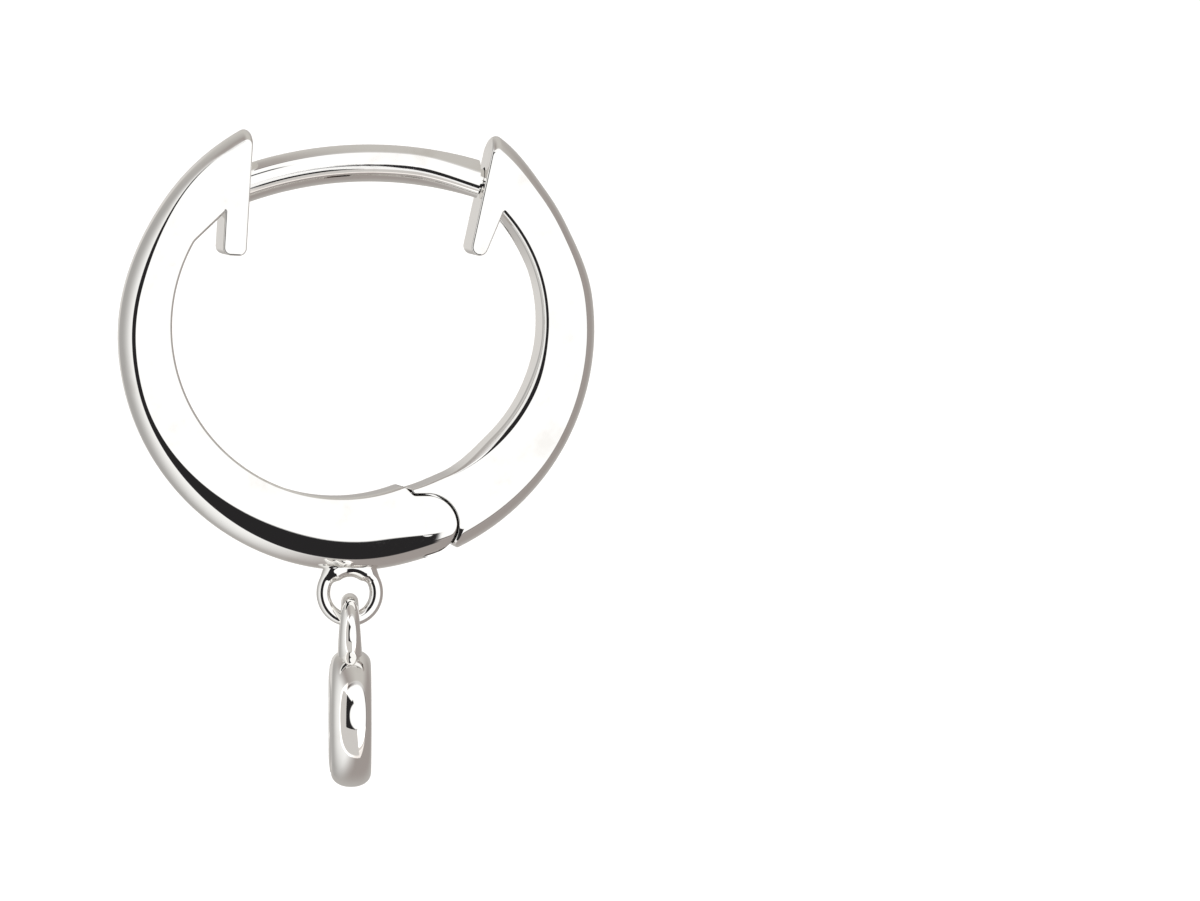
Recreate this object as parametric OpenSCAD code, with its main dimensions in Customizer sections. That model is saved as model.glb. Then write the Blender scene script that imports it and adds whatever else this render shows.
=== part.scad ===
// Hinged hoop earring with a bezel set charm, in millimetres.
// The hoop lies in the XZ plane, its front to -X, and +Z is up.
// The origin is the middle of the ear post, where the earring hangs in the ear.

/* [Hoop] */
// Outer radius of the front half where its flat sides end
hoop_r = 6.36; // [6.1:0.02:6.8]
// Width of the band across its outer face
band_w = 1.6; // [1.4:0.05:2]
// Rise of the domed outer face over the flat sides
crown = 0.42; // [0.35:0.01:0.5]
// Rounding between the domed face and the sides
edge_r = 0.24; // [0.15:0.01:0.28]
// How far the hoop's centre lies in front of the post's middle
hoop_back = 0.385; // [0.2:0.01:0.6]
// Height of the post's middle over the hoop's centre
post_rise = 4.85; // [4.7:0.01:5]

/* [Front half] */
// Thickness of the front half where it is thinnest, without the crown
front_thin = 0.88; // [0.8:0.01:1.1]
// How far its inner circle is off centre, which makes the bottom thicker
front_swell = 0.49; // [0.3:0.01:0.6]
// Direction in which it is thinnest, in degrees up from +X
front_thin_at = 152; // [140:1:170]

/* [Rear arm] */
// How much larger the rear arm's outer radius is than the front half's
arm_extra_r = 0.1; // [0:0.01:0.15]
// Thickness of the rear arm where it is thinnest, without the crown
arm_thin = 0.98; // [0.9:0.01:1.1]
// How far its inner circle is off centre
arm_swell = 0.78; // [0.6:0.01:0.9]
// Direction in which it is thinnest, in degrees up from +X
arm_thin_at = 17; // [5:1:30]

/* [Jaws] */
// Distance between the two jaw walls at the height of the post's middle
jaw_gap = 6.85; // [6.5:0.05:7.2]
// Lean of the front jaw's wall from upright
front_lean = 3.5; // [0:0.5:6]
// Lean of the rear jaw's wall from upright
rear_lean = 12.5; // [8:0.5:15]
// Depth of the front tooth below the post's middle
front_tooth_drop = 2.62; // [2.2:0.02:3]
// Thickness of the front tooth
front_tooth_t = 0.68; // [0.5:0.01:0.8]
// Depth below the post's middle at which the thickened inner side meets the tooth
haunch_drop = 1.27; // [1.1:0.01:1.4]
// Direction from the centre of the inner circle at which that thickening starts
haunch_at = 150; // [146:1:154]
// Rounding of the front tooth's end
front_tooth_r = 0.22; // [0.1:0.01:0.24]
// Depth of the rear tooth below the post's middle
rear_tooth_drop = 2.64; // [2.4:0.02:3]
// Rounding of the rear tooth's end
rear_tooth_r = 0.24; // [0.2:0.01:0.26]
// Lean of the rear tooth's back from upright
rear_tooth_lean = 23; // [18:1:28]
// How far the thumb tab stands out from the arm's far side
tab_out = 0.36; // [0.25:0.01:0.45]
// Length of the tab along the arm
tab_len = 3.4; // [3:0.1:3.8]
// Thickness of the tab
tab_t = 0.45; // [0.35:0.05:0.5]
// Direction of the tab's middle from the centre of the arm's inner circle
tab_at = 23; // [20:0.5:26]
// How far the tab is let down, so that its upper end stands proud of the inner face
tab_drop = 0.27; // [0.2:0.01:0.3]

/* [Post] */
// Diameter of the ear post
post_d = 1.06; // [0.8:0.02:1.1]
// Radius of the post's arch
post_arch_r = 11; // [10:0.5:14]
// Gap between the post's full section and the rear jaw's wall, at its foot
post_end_gap = 0.05; // [0.04:0.01:0.1]
// Lean of the cut at the post's end
post_end_lean = 5; // [0:0.5:8]
// Diameter of the snap tip
tip_d = 0.66; // [0.5:0.02:0.7]
// Length of the snap tip beyond the jaw wall, to the middle of its round end
tip_len = 0.5; // [0.35:0.05:0.6]
// Gap around the snap tip in its socket
socket_gap = 0.06; // [0.04:0.01:0.08]

/* [Hinge] */
// Direction of the hinge pin from the hoop's centre
hinge_at = -70; // [-74:1:-66]
// Radius of the knuckle
knuckle_r = 0.87; // [0.8:0.01:1]
// How deep the knuckle lies under the crown of the outer face
knuckle_in = 0.07; // [0.02:0.01:0.08]
// Diameter of the hinge pin
pin_d = 0.6; // [0.5:0.02:0.7]
// Gap around the pin in the tongue
pin_run = 0.03; // [0.02:0.01:0.05]
// Gap around the pin in the cheeks
pin_seat = 0.01; // [0.01:0.005:0.02]
// Width of the tongue
tongue_w = 0.5; // [0.4:0.02:0.6]
// Gap between the tongue and each cheek
cheek_gap = 0.04; // [0.03:0.01:0.06]
// Gap of the seam between the two halves
seam = 0.05; // [0.04:0.01:0.08]
// Length of the flat under the arm's beak
beak_flat = 0.38; // [0.3:0.02:0.5]
// Slope of the seam from that flat up to the inner face
beak_bevel = 45; // [35:5:55]
// Direction from the pin at which the arm's shoulder ends
shoulder_at = -34; // [-40:1:-30]
// How far the arm opens before its shoulder meets the front half
open_stop = 42; // [40:1:46]

/* [Charm loop] */
// Outer diameter of the loop under the hoop
loop_d = 1.92; // [1.8:0.02:2.1]
// Wire of the loop
loop_wire = 0.39; // [0.34:0.01:0.44]
// Direction of the loop from the hoop's centre
loop_at = -90.9; // [-94:0.1:-88]
// How deep the loop is let into the hoop
loop_sink = 0.33; // [0.25:0.01:0.4]
// Radius of the solder beads at the loop's feet
solder_r = 0.28; // [0.22:0.01:0.32]
// Direction of each solder bead from the top of the loop
solder_at = 48; // [44:1:52]

/* [Charm] */
// Turn of the charm about the upright
charm_turn = 8; // [0:1:12]
// Outer diameter of the bail ring
bail_d = 2.16; // [2.1:0.02:2.4]
// Wire of the bail ring
bail_wire = 0.53; // [0.45:0.01:0.55]
// Gap between the bail and the loop's wire that it hangs on
hang_gap = 0.05; // [0.04:0.01:0.08]
// Diameter of the bezel cup
bezel_d = 3.93; // [3.8:0.05:4.4]
// Depth of the bezel cup from back to front
bezel_t = 1.2; // [1.15:0.01:1.4]
// Rounding of the cup's back edge
back_round = 0.42; // [0.3:0.01:0.45]
// Rounding of the cup's front edge
front_round = 0.28; // [0.2:0.01:0.35]
// How far the front ring falls from the opening to its rim
ring_fall = 0.06; // [0.02:0.01:0.1]

/* [Stone] */
// Diameter of the stone's girdle
stone_d = 2.45; // [2.2:0.05:2.6]
// How far the cup's lip reaches over the girdle
lip = 0.055; // [0.04:0.005:0.08]
// Width of the table as a share of the girdle
table_share = 0.53; // [0.5:0.01:0.6]
// Depth of the table below the lip
table_drop = 0.04; // [0.02:0.01:0.1]
// Height of the crown
crown_h = 0.31; // [0.25:0.01:0.34]
// Thickness of the girdle
girdle_h = 0.04; // [0.03:0.01:0.06]
// Depth of the pavilion
pavilion_h = 0.66; // [0.55:0.01:0.7]
// Gap between the stone and its cup
stone_gap = 0.02; // [0.01:0.005:0.03]

/* [Hidden] */
$fn = 96;
metal = "gainsboro";
stone_colour = "azure";
// A length that reaches past every piece
far = 30;
// A little more, where one solid is let into another
bite = 0.1;

function polar(r, a) = [r * cos(a), r * sin(a)];

// Circles of the side outline, as [x, z]
hoop_c = [-hoop_back, -post_rise];
front_in_c = hoop_c + polar(front_swell, front_thin_at);
front_in_r = hoop_r - front_thin - front_swell;
pin_c = hoop_c + polar(hoop_r + crown - knuckle_in - knuckle_r, hinge_at);
arm_r = hoop_r + arm_extra_r;
// The arm's outer circle meets the front's near the hinge
arm_c = hoop_c + polar(arm_extra_r, 90 + hinge_at / 2);
arm_in_c = arm_c + polar(arm_swell, arm_thin_at);
arm_in_r = arm_r - arm_thin - arm_swell;

// Domed section of the band
corner_y = band_w / 2 - edge_r;
dome_r = (crown * crown + corner_y * corner_y - edge_r * edge_r) / (2 * (crown - edge_r));

// Jaw walls: a point on each, level with the post's middle, and its direction up
front_wall = [-jaw_gap / 2, 0];
front_up = [sin(front_lean), cos(front_lean)];
rear_wall = [jaw_gap / 2, 0];
rear_up = [sin(rear_lean), cos(rear_lean)];
rear_in = [cos(rear_lean), -sin(rear_lean)];
rear_back_up = [sin(rear_tooth_lean), cos(rear_tooth_lean)];
rear_back_out = [cos(rear_tooth_lean), -sin(rear_tooth_lean)];
// Middle of the rear tooth's round end
rear_tip_z = rear_tooth_r - rear_tooth_drop;
rear_tip_x = rear_wall[0] + (rear_tip_z * rear_up[0] + rear_tooth_r) / rear_up[1];
rear_tip = [rear_tip_x, rear_tip_z];

// Snap tip, on an arc about the hinge pin, so that it slides out as the arm opens
end_x = jaw_gap / 2 - post_end_gap;
end_z = sqrt(post_arch_r * post_arch_r - end_x * end_x) - post_arch_r;
end_foot = end_z - post_d / 2;
tip_arm = norm([end_x, end_z] - pin_c);
tip_at = atan2(end_z - pin_c[1], end_x - pin_c[0]);
tip_turn = tip_len / tip_arm * 180 / PI;

// Loop and charm
loop_c = hoop_c + polar(hoop_r + crown + loop_d / 2 - loop_sink, loop_at);
loop_mid_r = (loop_d - loop_wire) / 2;
hang_z = loop_c[1] - loop_mid_r;
bail_in_r = bail_d / 2 - bail_wire;
bail_mid_r = (bail_d - bail_wire) / 2;
bail_z = loop_wire / 2 + hang_gap - bail_in_r;
bezel_z = bail_z - bail_d / 2 + bail_wire - bezel_d / 2;

// Stone, along its own axis from the cup's back
stone_r = stone_d / 2;
table_r = stone_r * table_share;
table_z = bezel_t - table_drop;
girdle_top = table_z - crown_h;
girdle_low = girdle_top - girdle_h;
culet_z = girdle_low - pavilion_h;
// Where the star facets and the lower halves end, as shares of the girdle's radius
star_share = 0.8;
half_share = 0.24;
ring_inner_r = stone_r - lip;
cup_r = bezel_d / 2;

// Upright plate of the XZ plane, of a width along Y
module plate(width) {
    rotate([90, 0, 0])
        linear_extrude(height = width, center = true)
            children();
}

// Ring or disc about an axis along Y, from a section drawn as [radius, y]
module turned(centre) {
    translate([centre[0], 0, centre[1]])
        rotate([90, 0, 0])
            rotate_extrude()
                children();
}

// Arc of round wire in the XZ plane
module wire_arc(centre, radius, wire, from, turn) {
    translate([centre[0], 0, centre[1]])
        rotate([90, -from, 0])
            rotate_extrude(angle = turn)
                translate([radius, 0])
                    circle(d = wire);
}

// Half section of a solid disc with the band's domed rim
module dome_section(radius) {
    dome_x = radius + crown - dome_r;
    reach = 2 * dome_r;
    spread = atan2(corner_y, radius - dome_x);
    translate([0, -band_w / 2])
        square([radius, band_w]);
    for (side = [-1, 1])
        translate([radius, side * corner_y])
            circle(r = edge_r);
    intersection() {
        translate([dome_x, 0])
            circle(r = dome_r);
        polygon([
            [dome_x, 0],
            [dome_x, 0] + polar(reach, -spread),
            [dome_x, 0] + polar(reach, spread)
        ]);
    }
}

module disc2d(centre, radius) {
    translate(centre)
        circle(r = radius);
}

// The stretch of the plane that the front half may fill
module front_keep() {
    flat_z = pin_c[1] + knuckle_r;
    beak_x = pin_c[0] - beak_flat;
    stop_at = shoulder_at - open_stop;
    polygon([
        front_wall + far * front_up,
        front_wall - front_tooth_drop * front_up,
        [beak_x - knuckle_r, hoop_c[1]],
        [beak_x - knuckle_r, flat_z + knuckle_r * tan(beak_bevel)],
        [beak_x, flat_z],
        [pin_c[0], flat_z],
        pin_c,
        pin_c + polar(far, stop_at),
        [-far, -far],
        [-far, far]
    ]);
    disc2d(pin_c, knuckle_r);
}

// The stretch of the plane that the arm may fill, knuckle included
module arm_keep() {
    flat_z = pin_c[1] + knuckle_r + seam;
    beak_x = pin_c[0] - beak_flat + seam * tan(beak_bevel / 2);
    polygon([
        rear_wall + far * rear_up,
        rear_wall - rear_tooth_drop * rear_up,
        [pin_c[0], hoop_c[1]],
        [beak_x - knuckle_r, flat_z + knuckle_r * tan(beak_bevel)],
        [beak_x, flat_z],
        [pin_c[0], flat_z],
        pin_c,
        pin_c + polar(far, shoulder_at),
        [far, -far],
        [far, far]
    ]);
}

// Front tooth: a plate under the jaw with a rounded end
module front_tooth() {
    r = front_tooth_r;
    t = front_tooth_t;
    translate(front_wall)
        rotate(-front_lean)
            translate([-t, -front_tooth_drop]) {
                translate([0, r])
                    square([t, front_tooth_drop - r]);
                translate([r, 0])
                    square([t - 2 * r, r + bite]);
                for (x = [r, t - r])
                    translate([x, r])
                        circle(r = r);
            }
}

// Thickening inside the front jaw, from the inner circle to the tooth's back
module front_haunch() {
    low = front_in_c + polar(front_in_r + bite / 2, haunch_at);
    high = front_wall - haunch_drop * front_up - front_tooth_t * [cos(front_lean), -sin(front_lean)];
    polygon([
        low,
        high + bite * [cos(front_lean), -sin(front_lean)],
        high + front_thin * front_up,
        low + polar(front_thin / 2, haunch_at)
    ]);
}

// Rear tooth: a wedge between the jaw's wall and its leaning back
module rear_tooth() {
    back_foot = rear_tip + rear_tooth_r * rear_back_out;
    back_len = (rear_tooth_drop - rear_tooth_r) / rear_back_up[1];
    polygon([
        rear_wall,
        rear_tip - rear_tooth_r * rear_in,
        rear_tip,
        back_foot,
        back_foot + (back_len - post_d) * rear_back_up
    ]);
    disc2d(rear_tip, rear_tooth_r);
}

// Thumb tab on the arm's far side, a plate along its inner face with a round outline
module thumb_tab() {
    half = tab_len / 2;
    outline_r = (half * half + tab_out * tab_out) / (2 * tab_out);
    tab_c = arm_in_c - [0, tab_drop];
    intersection() {
        plate(2 * band_w)
            difference() {
                disc2d(tab_c, arm_in_r + tab_t);
                disc2d(tab_c, arm_in_r);
            }
        translate([arm_in_c[0], 0, arm_in_c[1]])
            rotate([0, -tab_at, 0])
                translate([0, band_w / 2 + tab_out - outline_r, 0])
                    rotate([0, 90, 0])
                        cylinder(r = outline_r, h = far);
        translate([0, band_w / 2 - bite, -far])
            cube([far, far, far]);
    }
}

// Ear post, cut near the rear jaw's wall
module post() {
    reach = asin((jaw_gap / 2 + bite) / post_arch_r);
    intersection() {
        wire_arc([0, -post_arch_r], post_arch_r, post_d, 90 - reach, 2 * reach);
        plate(2 * post_d)
            translate([jaw_gap / 2 - post_end_gap + end_foot * tan(rear_lean), end_foot])
                rotate(-post_end_lean)
                    translate([-far, -far])
                        square([far, 2 * far]);
    }
}

// Snap tip or, with a gap around it, its socket
module tip_form(gap) {
    root = asin(knuckle_r / tip_arm);
    wire_arc(pin_c, tip_arm, tip_d + 2 * gap, tip_at - tip_turn, tip_turn + root);
    translate([pin_c[0], 0, pin_c[1]])
        rotate([0, tip_turn - tip_at, 0])
            translate([tip_arm, 0, 0])
                sphere(d = tip_d + 2 * gap);
}

// Loop under the hoop with its two solder beads
module charm_loop() {
    turned(loop_c)
        translate([loop_mid_r, 0])
            circle(d = loop_wire);
    for (side = [-1, 1])
        translate([loop_c[0], 0, loop_c[1]])
            rotate([0, side * solder_at, 0])
                translate([0, 0, loop_mid_r])
                    sphere(r = solder_r);
}

module pin_hole(gap) {
    plate(2 * band_w)
        disc2d(pin_c, pin_d / 2 + gap);
}

module hoop_front() color(metal) difference() {
    union() {
        intersection() {
            turned(hoop_c)
                dome_section(hoop_r);
            plate(2 * band_w) {
                difference() {
                    intersection() {
                        disc2d(hoop_c, hoop_r + 2 * crown);
                        front_keep();
                    }
                    disc2d(front_in_c, front_in_r);
                }
                front_tooth();
                front_haunch();
            }
        }
        post();
        tip_form(0);
        charm_loop();
    }
    plate(tongue_w + 2 * cheek_gap)
        disc2d(pin_c, knuckle_r + seam);
    pin_hole(pin_seat);
}

module hoop_arm() color(metal) difference() {
    union() {
        intersection() {
            turned(arm_c)
                dome_section(arm_r);
            plate(2 * band_w) {
                difference() {
                    intersection() {
                        disc2d(arm_c, arm_r + 2 * crown);
                        arm_keep();
                    }
                    disc2d(arm_in_c, arm_in_r);
                }
                disc2d(pin_c, knuckle_r - seam / 2);
                rear_tooth();
            }
        }
        thumb_tab();
    }
    for (side = [-1, 1])
        translate([0, side * (tongue_w + band_w) / 2, 0])
            plate(band_w)
                disc2d(pin_c, knuckle_r + seam);
    tip_form(socket_gap);
    pin_hole(pin_run);
}

module hinge_pin() color(metal)
    plate(band_w)
        disc2d(pin_c, pin_d / 2);

// Place of the charm, about the wire that it hangs on, its front to -X
module charm_place() {
    translate([loop_c[0], 0, hang_z])
        rotate([0, 0, -charm_turn])
            children();
}

// Place of the cup, its axis from back to front along +Z of the children
module cup_place() {
    charm_place()
        translate([bezel_t / 2, 0, bezel_z])
            rotate([0, -90, 0])
                children();
}

// Half section of the solid cup, as [radius, height from the back]
module cup_section() {
    rim_z = bezel_t - ring_fall;
    translate([0, back_round])
        square([cup_r, rim_z - front_round - back_round]);
    square([cup_r - back_round, rim_z - front_round]);
    translate([cup_r - back_round, back_round])
        circle(r = back_round);
    translate([cup_r - front_round, rim_z - front_round])
        circle(r = front_round);
    polygon([
        [0, 0],
        [cup_r - front_round, 0],
        [cup_r - front_round, rim_z],
        [ring_inner_r, bezel_t],
        [0, bezel_t]
    ]);
}

// Half section of the hollow that holds the stone
module seat_section() {
    seat_r = stone_r + stone_gap;
    polygon([
        [0, culet_z - stone_gap],
        [seat_r, girdle_low - stone_gap],
        [seat_r, girdle_top + stone_gap],
        [ring_inner_r + stone_gap, girdle_top + stone_gap + lip * crown_h / (stone_r - table_r)],
        [ring_inner_r + stone_gap, bezel_t + bite],
        [0, bezel_t + bite]
    ]);
}

module charm_setting() color(metal) {
    charm_place()
        translate([0, 0, bail_z])
            rotate([0, 90, 0])
                rotate_extrude()
                    translate([bail_mid_r, 0])
                        circle(d = bail_wire);
    cup_place()
        rotate_extrude()
            difference() {
                intersection() {
                    cup_section();
                    square([far, far]);
                }
                seat_section();
            }
}

// Round brilliant: table, stars, kites and upper halves over the girdle,
// lower halves and pavilion mains under it
module charm_stone() color(stone_colour) {
    // Height on the flat kite and main facets at a radius between two of them
    star_r = stone_r * star_share;
    half_r = stone_r * half_share;
    star_fall = (star_r * cos(22.5) - table_r) / (stone_r - table_r);
    star_z = table_z - crown_h * star_fall;
    half_z = culet_z + pavilion_h * half_r * cos(22.5) / stone_r;
    table_pts = [for (i = [0:7]) [table_r * cos(45 * i), table_r * sin(45 * i), table_z]];
    star_pts = [for (i = [0:7]) [star_r * cos(45 * i + 22.5), star_r * sin(45 * i + 22.5), star_z]];
    top_pts = [for (i = [0:15]) [stone_r * cos(22.5 * i), stone_r * sin(22.5 * i), girdle_top]];
    low_pts = [for (i = [0:15]) [stone_r * cos(22.5 * i), stone_r * sin(22.5 * i), girdle_low]];
    half_pts = [for (i = [0:7]) [half_r * cos(45 * i + 22.5), half_r * sin(45 * i + 22.5), half_z]];
    star_0 = 8;
    top_0 = 16;
    low_0 = 32;
    half_0 = 48;
    culet = 56;
    cup_place()
        polyhedron(
            points = concat(table_pts, star_pts, top_pts, low_pts, half_pts, [[0, 0, culet_z]]),
            faces = concat(
                [[for (i = [0:7]) 7 - i]],
                [for (i = [0:7]) [i, (i + 1) % 8, star_0 + i]],
                [for (i = [0:7]) [i, star_0 + i, top_0 + 2 * i]],
                [for (i = [0:7]) [i, top_0 + 2 * i, star_0 + (i + 7) % 8]],
                [for (i = [0:7]) [star_0 + i, top_0 + 2 * i + 1, top_0 + 2 * i]],
                [for (i = [0:7]) [star_0 + i, top_0 + (2 * i + 2) % 16, top_0 + 2 * i + 1]],
                [for (i = [0:15]) [top_0 + i, top_0 + (i + 1) % 16, low_0 + (i + 1) % 16, low_0 + i]],
                [for (i = [0:7]) [half_0 + i, low_0 + 2 * i, low_0 + 2 * i + 1]],
                [for (i = [0:7]) [half_0 + i, low_0 + 2 * i + 1, low_0 + (2 * i + 2) % 16]],
                [for (i = [0:7]) [culet, low_0 + 2 * i, half_0 + i]],
                [for (i = [0:7]) [culet, half_0 + (i + 7) % 8, low_0 + 2 * i]]
            )
        );
}

hoop_front();
hoop_arm();
hinge_pin();
charm_setting();
charm_stone();
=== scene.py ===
"""Looks of a hinged hoop earring with a hanging charm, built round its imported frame.

The hoop is two polished halves that meet at a hinge, an arched ear post, a soldered wire loop, and
a charm of a ring, a round cup and a cut stone. Sizes here are in millimetres and are turned into
metres where a mesh is made, so every piece lies where the frame has it.
"""

import logging
import math
from dataclasses import dataclass
from enum import Enum

import bmesh
import bpy
import numpy as np
from mathutils import Matrix, Vector


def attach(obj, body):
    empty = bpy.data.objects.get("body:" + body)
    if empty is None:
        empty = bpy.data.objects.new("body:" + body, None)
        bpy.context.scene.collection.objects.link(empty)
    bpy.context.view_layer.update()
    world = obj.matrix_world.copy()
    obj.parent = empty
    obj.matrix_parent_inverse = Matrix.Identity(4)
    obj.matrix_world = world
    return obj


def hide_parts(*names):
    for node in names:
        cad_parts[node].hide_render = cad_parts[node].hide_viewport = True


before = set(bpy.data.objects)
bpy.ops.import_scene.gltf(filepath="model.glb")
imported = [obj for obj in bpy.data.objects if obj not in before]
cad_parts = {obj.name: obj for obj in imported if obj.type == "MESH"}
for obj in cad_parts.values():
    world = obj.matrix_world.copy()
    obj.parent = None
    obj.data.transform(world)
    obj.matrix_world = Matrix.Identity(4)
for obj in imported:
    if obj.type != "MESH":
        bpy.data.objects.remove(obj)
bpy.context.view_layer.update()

LOG = logging.getLogger("earring")
MM = 0.001
IMAGE_W = 1200
IMAGE_H = 901
FLAT_SIDE = 0.99999
CREASE = 40.0


class Slot(Enum):
    """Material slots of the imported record."""

    METAL = "white_gold"
    STONE = "stone"


class Body(Enum):
    """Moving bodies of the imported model."""

    FRONT = "front"
    ARM = "arm"
    CHARM = "charm"


class Cut(Enum):
    """Ways to combine two solids."""

    JOIN = "UNION"
    CARVE = "DIFFERENCE"


def polar(radius: float, degrees: float) -> np.ndarray:
    """Return the point at a radius and an angle in degrees."""
    turn = math.radians(degrees)
    return np.array([radius * math.cos(turn), radius * math.sin(turn)])


def smooth(low: float, high: float, value: np.ndarray) -> np.ndarray:
    """Return a soft step from 0 at low to 1 at high."""
    share = np.clip((np.asarray(value, float) - low) / (high - low), 0.0, 1.0)
    return share * share * (3 - 2 * share)


def opaque(red: float, green: float, blue: float) -> tuple[float, float, float, float]:
    """Return a colour as a socket takes it."""
    return red, green, blue, 1.0


# Node graphs


class Value:
    """A number that comes out of a node, which Python operators act on."""

    def __init__(self, graph: "Graph", socket: bpy.types.NodeSocket) -> None:
        """Keep the graph and the output socket."""
        self.graph = graph
        self.socket = socket

    def maths(self, operation: str, *others: object) -> "Value":
        """Add a Math node on this number and others, and return its result."""
        return self.graph.add("ShaderNodeMath", {"operation": operation}, self, *others)

    def __add__(self, other: object) -> "Value":
        """Return self + other."""
        return self.maths("ADD", other)

    __radd__ = __add__

    def __sub__(self, other: object) -> "Value":
        """Return self - other."""
        return self.maths("SUBTRACT", other)

    def __rsub__(self, other: object) -> "Value":
        """Return other - self."""
        return self.graph.add("ShaderNodeMath", {"operation": "SUBTRACT"}, other, self)

    def __mul__(self, other: object) -> "Value":
        """Return self * other."""
        return self.maths("MULTIPLY", other)

    __rmul__ = __mul__

    def absolute(self) -> "Value":
        """Return the size of the number without its sign."""
        return self.maths("ABSOLUTE")

    def step(self, low: float, high: float) -> "Value":
        """Return a soft step from 0 at low to 1 at high.

        Args:
            low: where the step starts, in the number's own unit.
            high: where the step ends, which may be below low.

        Returns:
            The step as a number from 0 to 1.
        """
        settings = {"interpolation_type": "SMOOTHSTEP", "clamp": True}
        return self.graph.add("ShaderNodeMapRange", settings, self, low, high, 0.0, 1.0)

    def between(self, low: float, high: float, soft: float) -> "Value":
        """Return 1 between two ends and 0 outside them, with soft ends."""
        return self.step(low, low + soft) * self.step(high, high - soft)


class Graph:
    """Adds and links nodes in one node tree."""

    def __init__(self, tree: bpy.types.NodeTree) -> None:
        """Keep the tree."""
        self.tree = tree

    def node(self, kind: str, settings: dict, *values: object, **named: object) -> bpy.types.Node:
        """Add any node.

        Args:
            kind: the node's type.
            settings: the node's own properties, set before its sockets.
            *values: values or links for the first sockets, in order. None leaves one as it is.
            **named: values or links for sockets by name, with _ for a space.

        Returns:
            The new node.
        """
        made = self.tree.nodes.new(kind)
        for name, value in settings.items():
            setattr(made, name, value)
        for socket, value in zip(made.inputs, values):
            self._feed(socket, value)
        for name, value in named.items():
            self._feed(made.inputs[name.replace("_", " ")], value)
        return made

    def add(self, kind: str, settings: dict, *values: object, **named: object) -> Value:
        """Add any node and return its first output that is in use."""
        made = self.node(kind, settings, *values, **named)
        return Value(self, next(out for out in made.outputs if out.enabled))

    def _feed(self, socket: bpy.types.NodeSocket, value: object) -> None:
        """Link a value to a socket, or set it there."""
        if isinstance(value, Value):
            value = value.socket
        if isinstance(value, bpy.types.NodeSocket):
            self.tree.links.new(value, socket)
        elif value is not None:
            socket.default_value = value

    def place(self) -> bpy.types.NodeSocket:
        """Return the place on the object."""
        return self.node("ShaderNodeTexCoord", {}).outputs["Object"]

    def mix(self, share: object, first: object, second: object) -> Value:
        """Return a colour between two colours, by share."""
        made = self.tree.nodes.new("ShaderNodeMix")
        made.data_type = "RGBA"
        self._feed(made.inputs[0], share)
        self._feed(made.inputs[6], first)
        self._feed(made.inputs[7], second)
        return Value(self, made.outputs[2])

    def noise(self, place: object, per_mm: float, detail: float, roughness: float = 0.5) -> Value:
        """Return a soft random pattern with so many waves in a millimetre."""
        scale = per_mm / MM
        return self.add(
            "ShaderNodeTexNoise", {}, Vector=place, Scale=scale, Detail=detail, Roughness=roughness
        )


def graph_of(owner: bpy.types.Material | bpy.types.World) -> Graph:
    """Empty the nodes of a material or a world and return a graph that fills them."""
    owner.use_nodes = True
    owner.node_tree.nodes.clear()
    return Graph(owner.node_tree)


# Finishes


@dataclass(frozen=True)
class Polish:
    """Polished white metal, with the slight waves and wipe marks of hand polishing.

    Attributes:
        name: name of the material.
        colour: reflected colour of the clean metal.
        tarnish: reflected colour where the polish is a little dull.
        roughness: roughness of the clean metal.
        haze: roughness that the dull places add.
        wave_mm: height of the polishing waves.
        waves_per_mm: polishing waves in a millimetre.
        grain_mm: height of the fine wipe marks.
        lean: slope by which the surface leans down, as hand bent wire does.
        end_lean: that slope at the far end.
        lean_mm: places along X between which the slope changes.
    """

    name: str
    colour: tuple[float, float, float] = (0.93, 0.92, 0.90)
    tarnish: tuple[float, float, float] = (0.86, 0.84, 0.81)
    roughness: float = 0.035
    haze: float = 0.06
    wave_mm: float = 0.004
    waves_per_mm: float = 0.55
    grain_mm: float = 0.00006
    lean: float = 0.0
    end_lean: float = 0.0
    lean_mm: tuple[float, float] = (1.2, 3.3)

    def _normal(self, graph: Graph, place: object) -> Value:
        """Return the surface's direction, leaned down."""
        normal = graph.node("ShaderNodeNewGeometry", {}).outputs["Normal"]
        along = Value(graph, graph.node("ShaderNodeSeparateXYZ", {}, place).outputs[0])
        far = along.step(self.lean_mm[0] * MM, self.lean_mm[1] * MM)
        down = (far * (self.end_lean - self.lean) + self.lean) * -1.0
        shift = graph.add("ShaderNodeCombineXYZ", {}, None, None, down)
        leaned = graph.add("ShaderNodeVectorMath", {"operation": "ADD"}, normal, shift)
        return graph.add("ShaderNodeVectorMath", {"operation": "NORMALIZE"}, leaned)

    def build(self) -> bpy.types.Material:
        """Make the material and return it."""
        made = bpy.data.materials.new(self.name)
        graph = graph_of(made)
        place = graph.place()
        dull = graph.noise(place, 0.9, 3.0, 0.6).step(0.52, 0.78)
        marks = graph.noise(place, 30.0, 2.0)
        waves = graph.noise(place, self.waves_per_mm, 1.0, 0.35)
        colour = graph.mix(dull, opaque(*self.colour), opaque(*self.tarnish))
        rough = self.roughness + dull * self.haze + marks.step(0.5, 0.8) * (self.haze * 0.25)
        normal = self._normal(graph, place)
        for pattern, height in ((waves, self.wave_mm), (marks, self.grain_mm)):
            normal = graph.add(
                "ShaderNodeBump",
                {},
                Strength=1.0,
                Distance=height * MM,
                Height=pattern,
                Normal=normal,
            )
        shader = graph.node(
            "ShaderNodeBsdfPrincipled",
            {},
            Base_Color=colour,
            Metallic=1.0,
            Roughness=rough,
            Normal=normal,
        )
        graph.node("ShaderNodeOutputMaterial", {}, Surface=shader.outputs[0])
        return made


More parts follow.
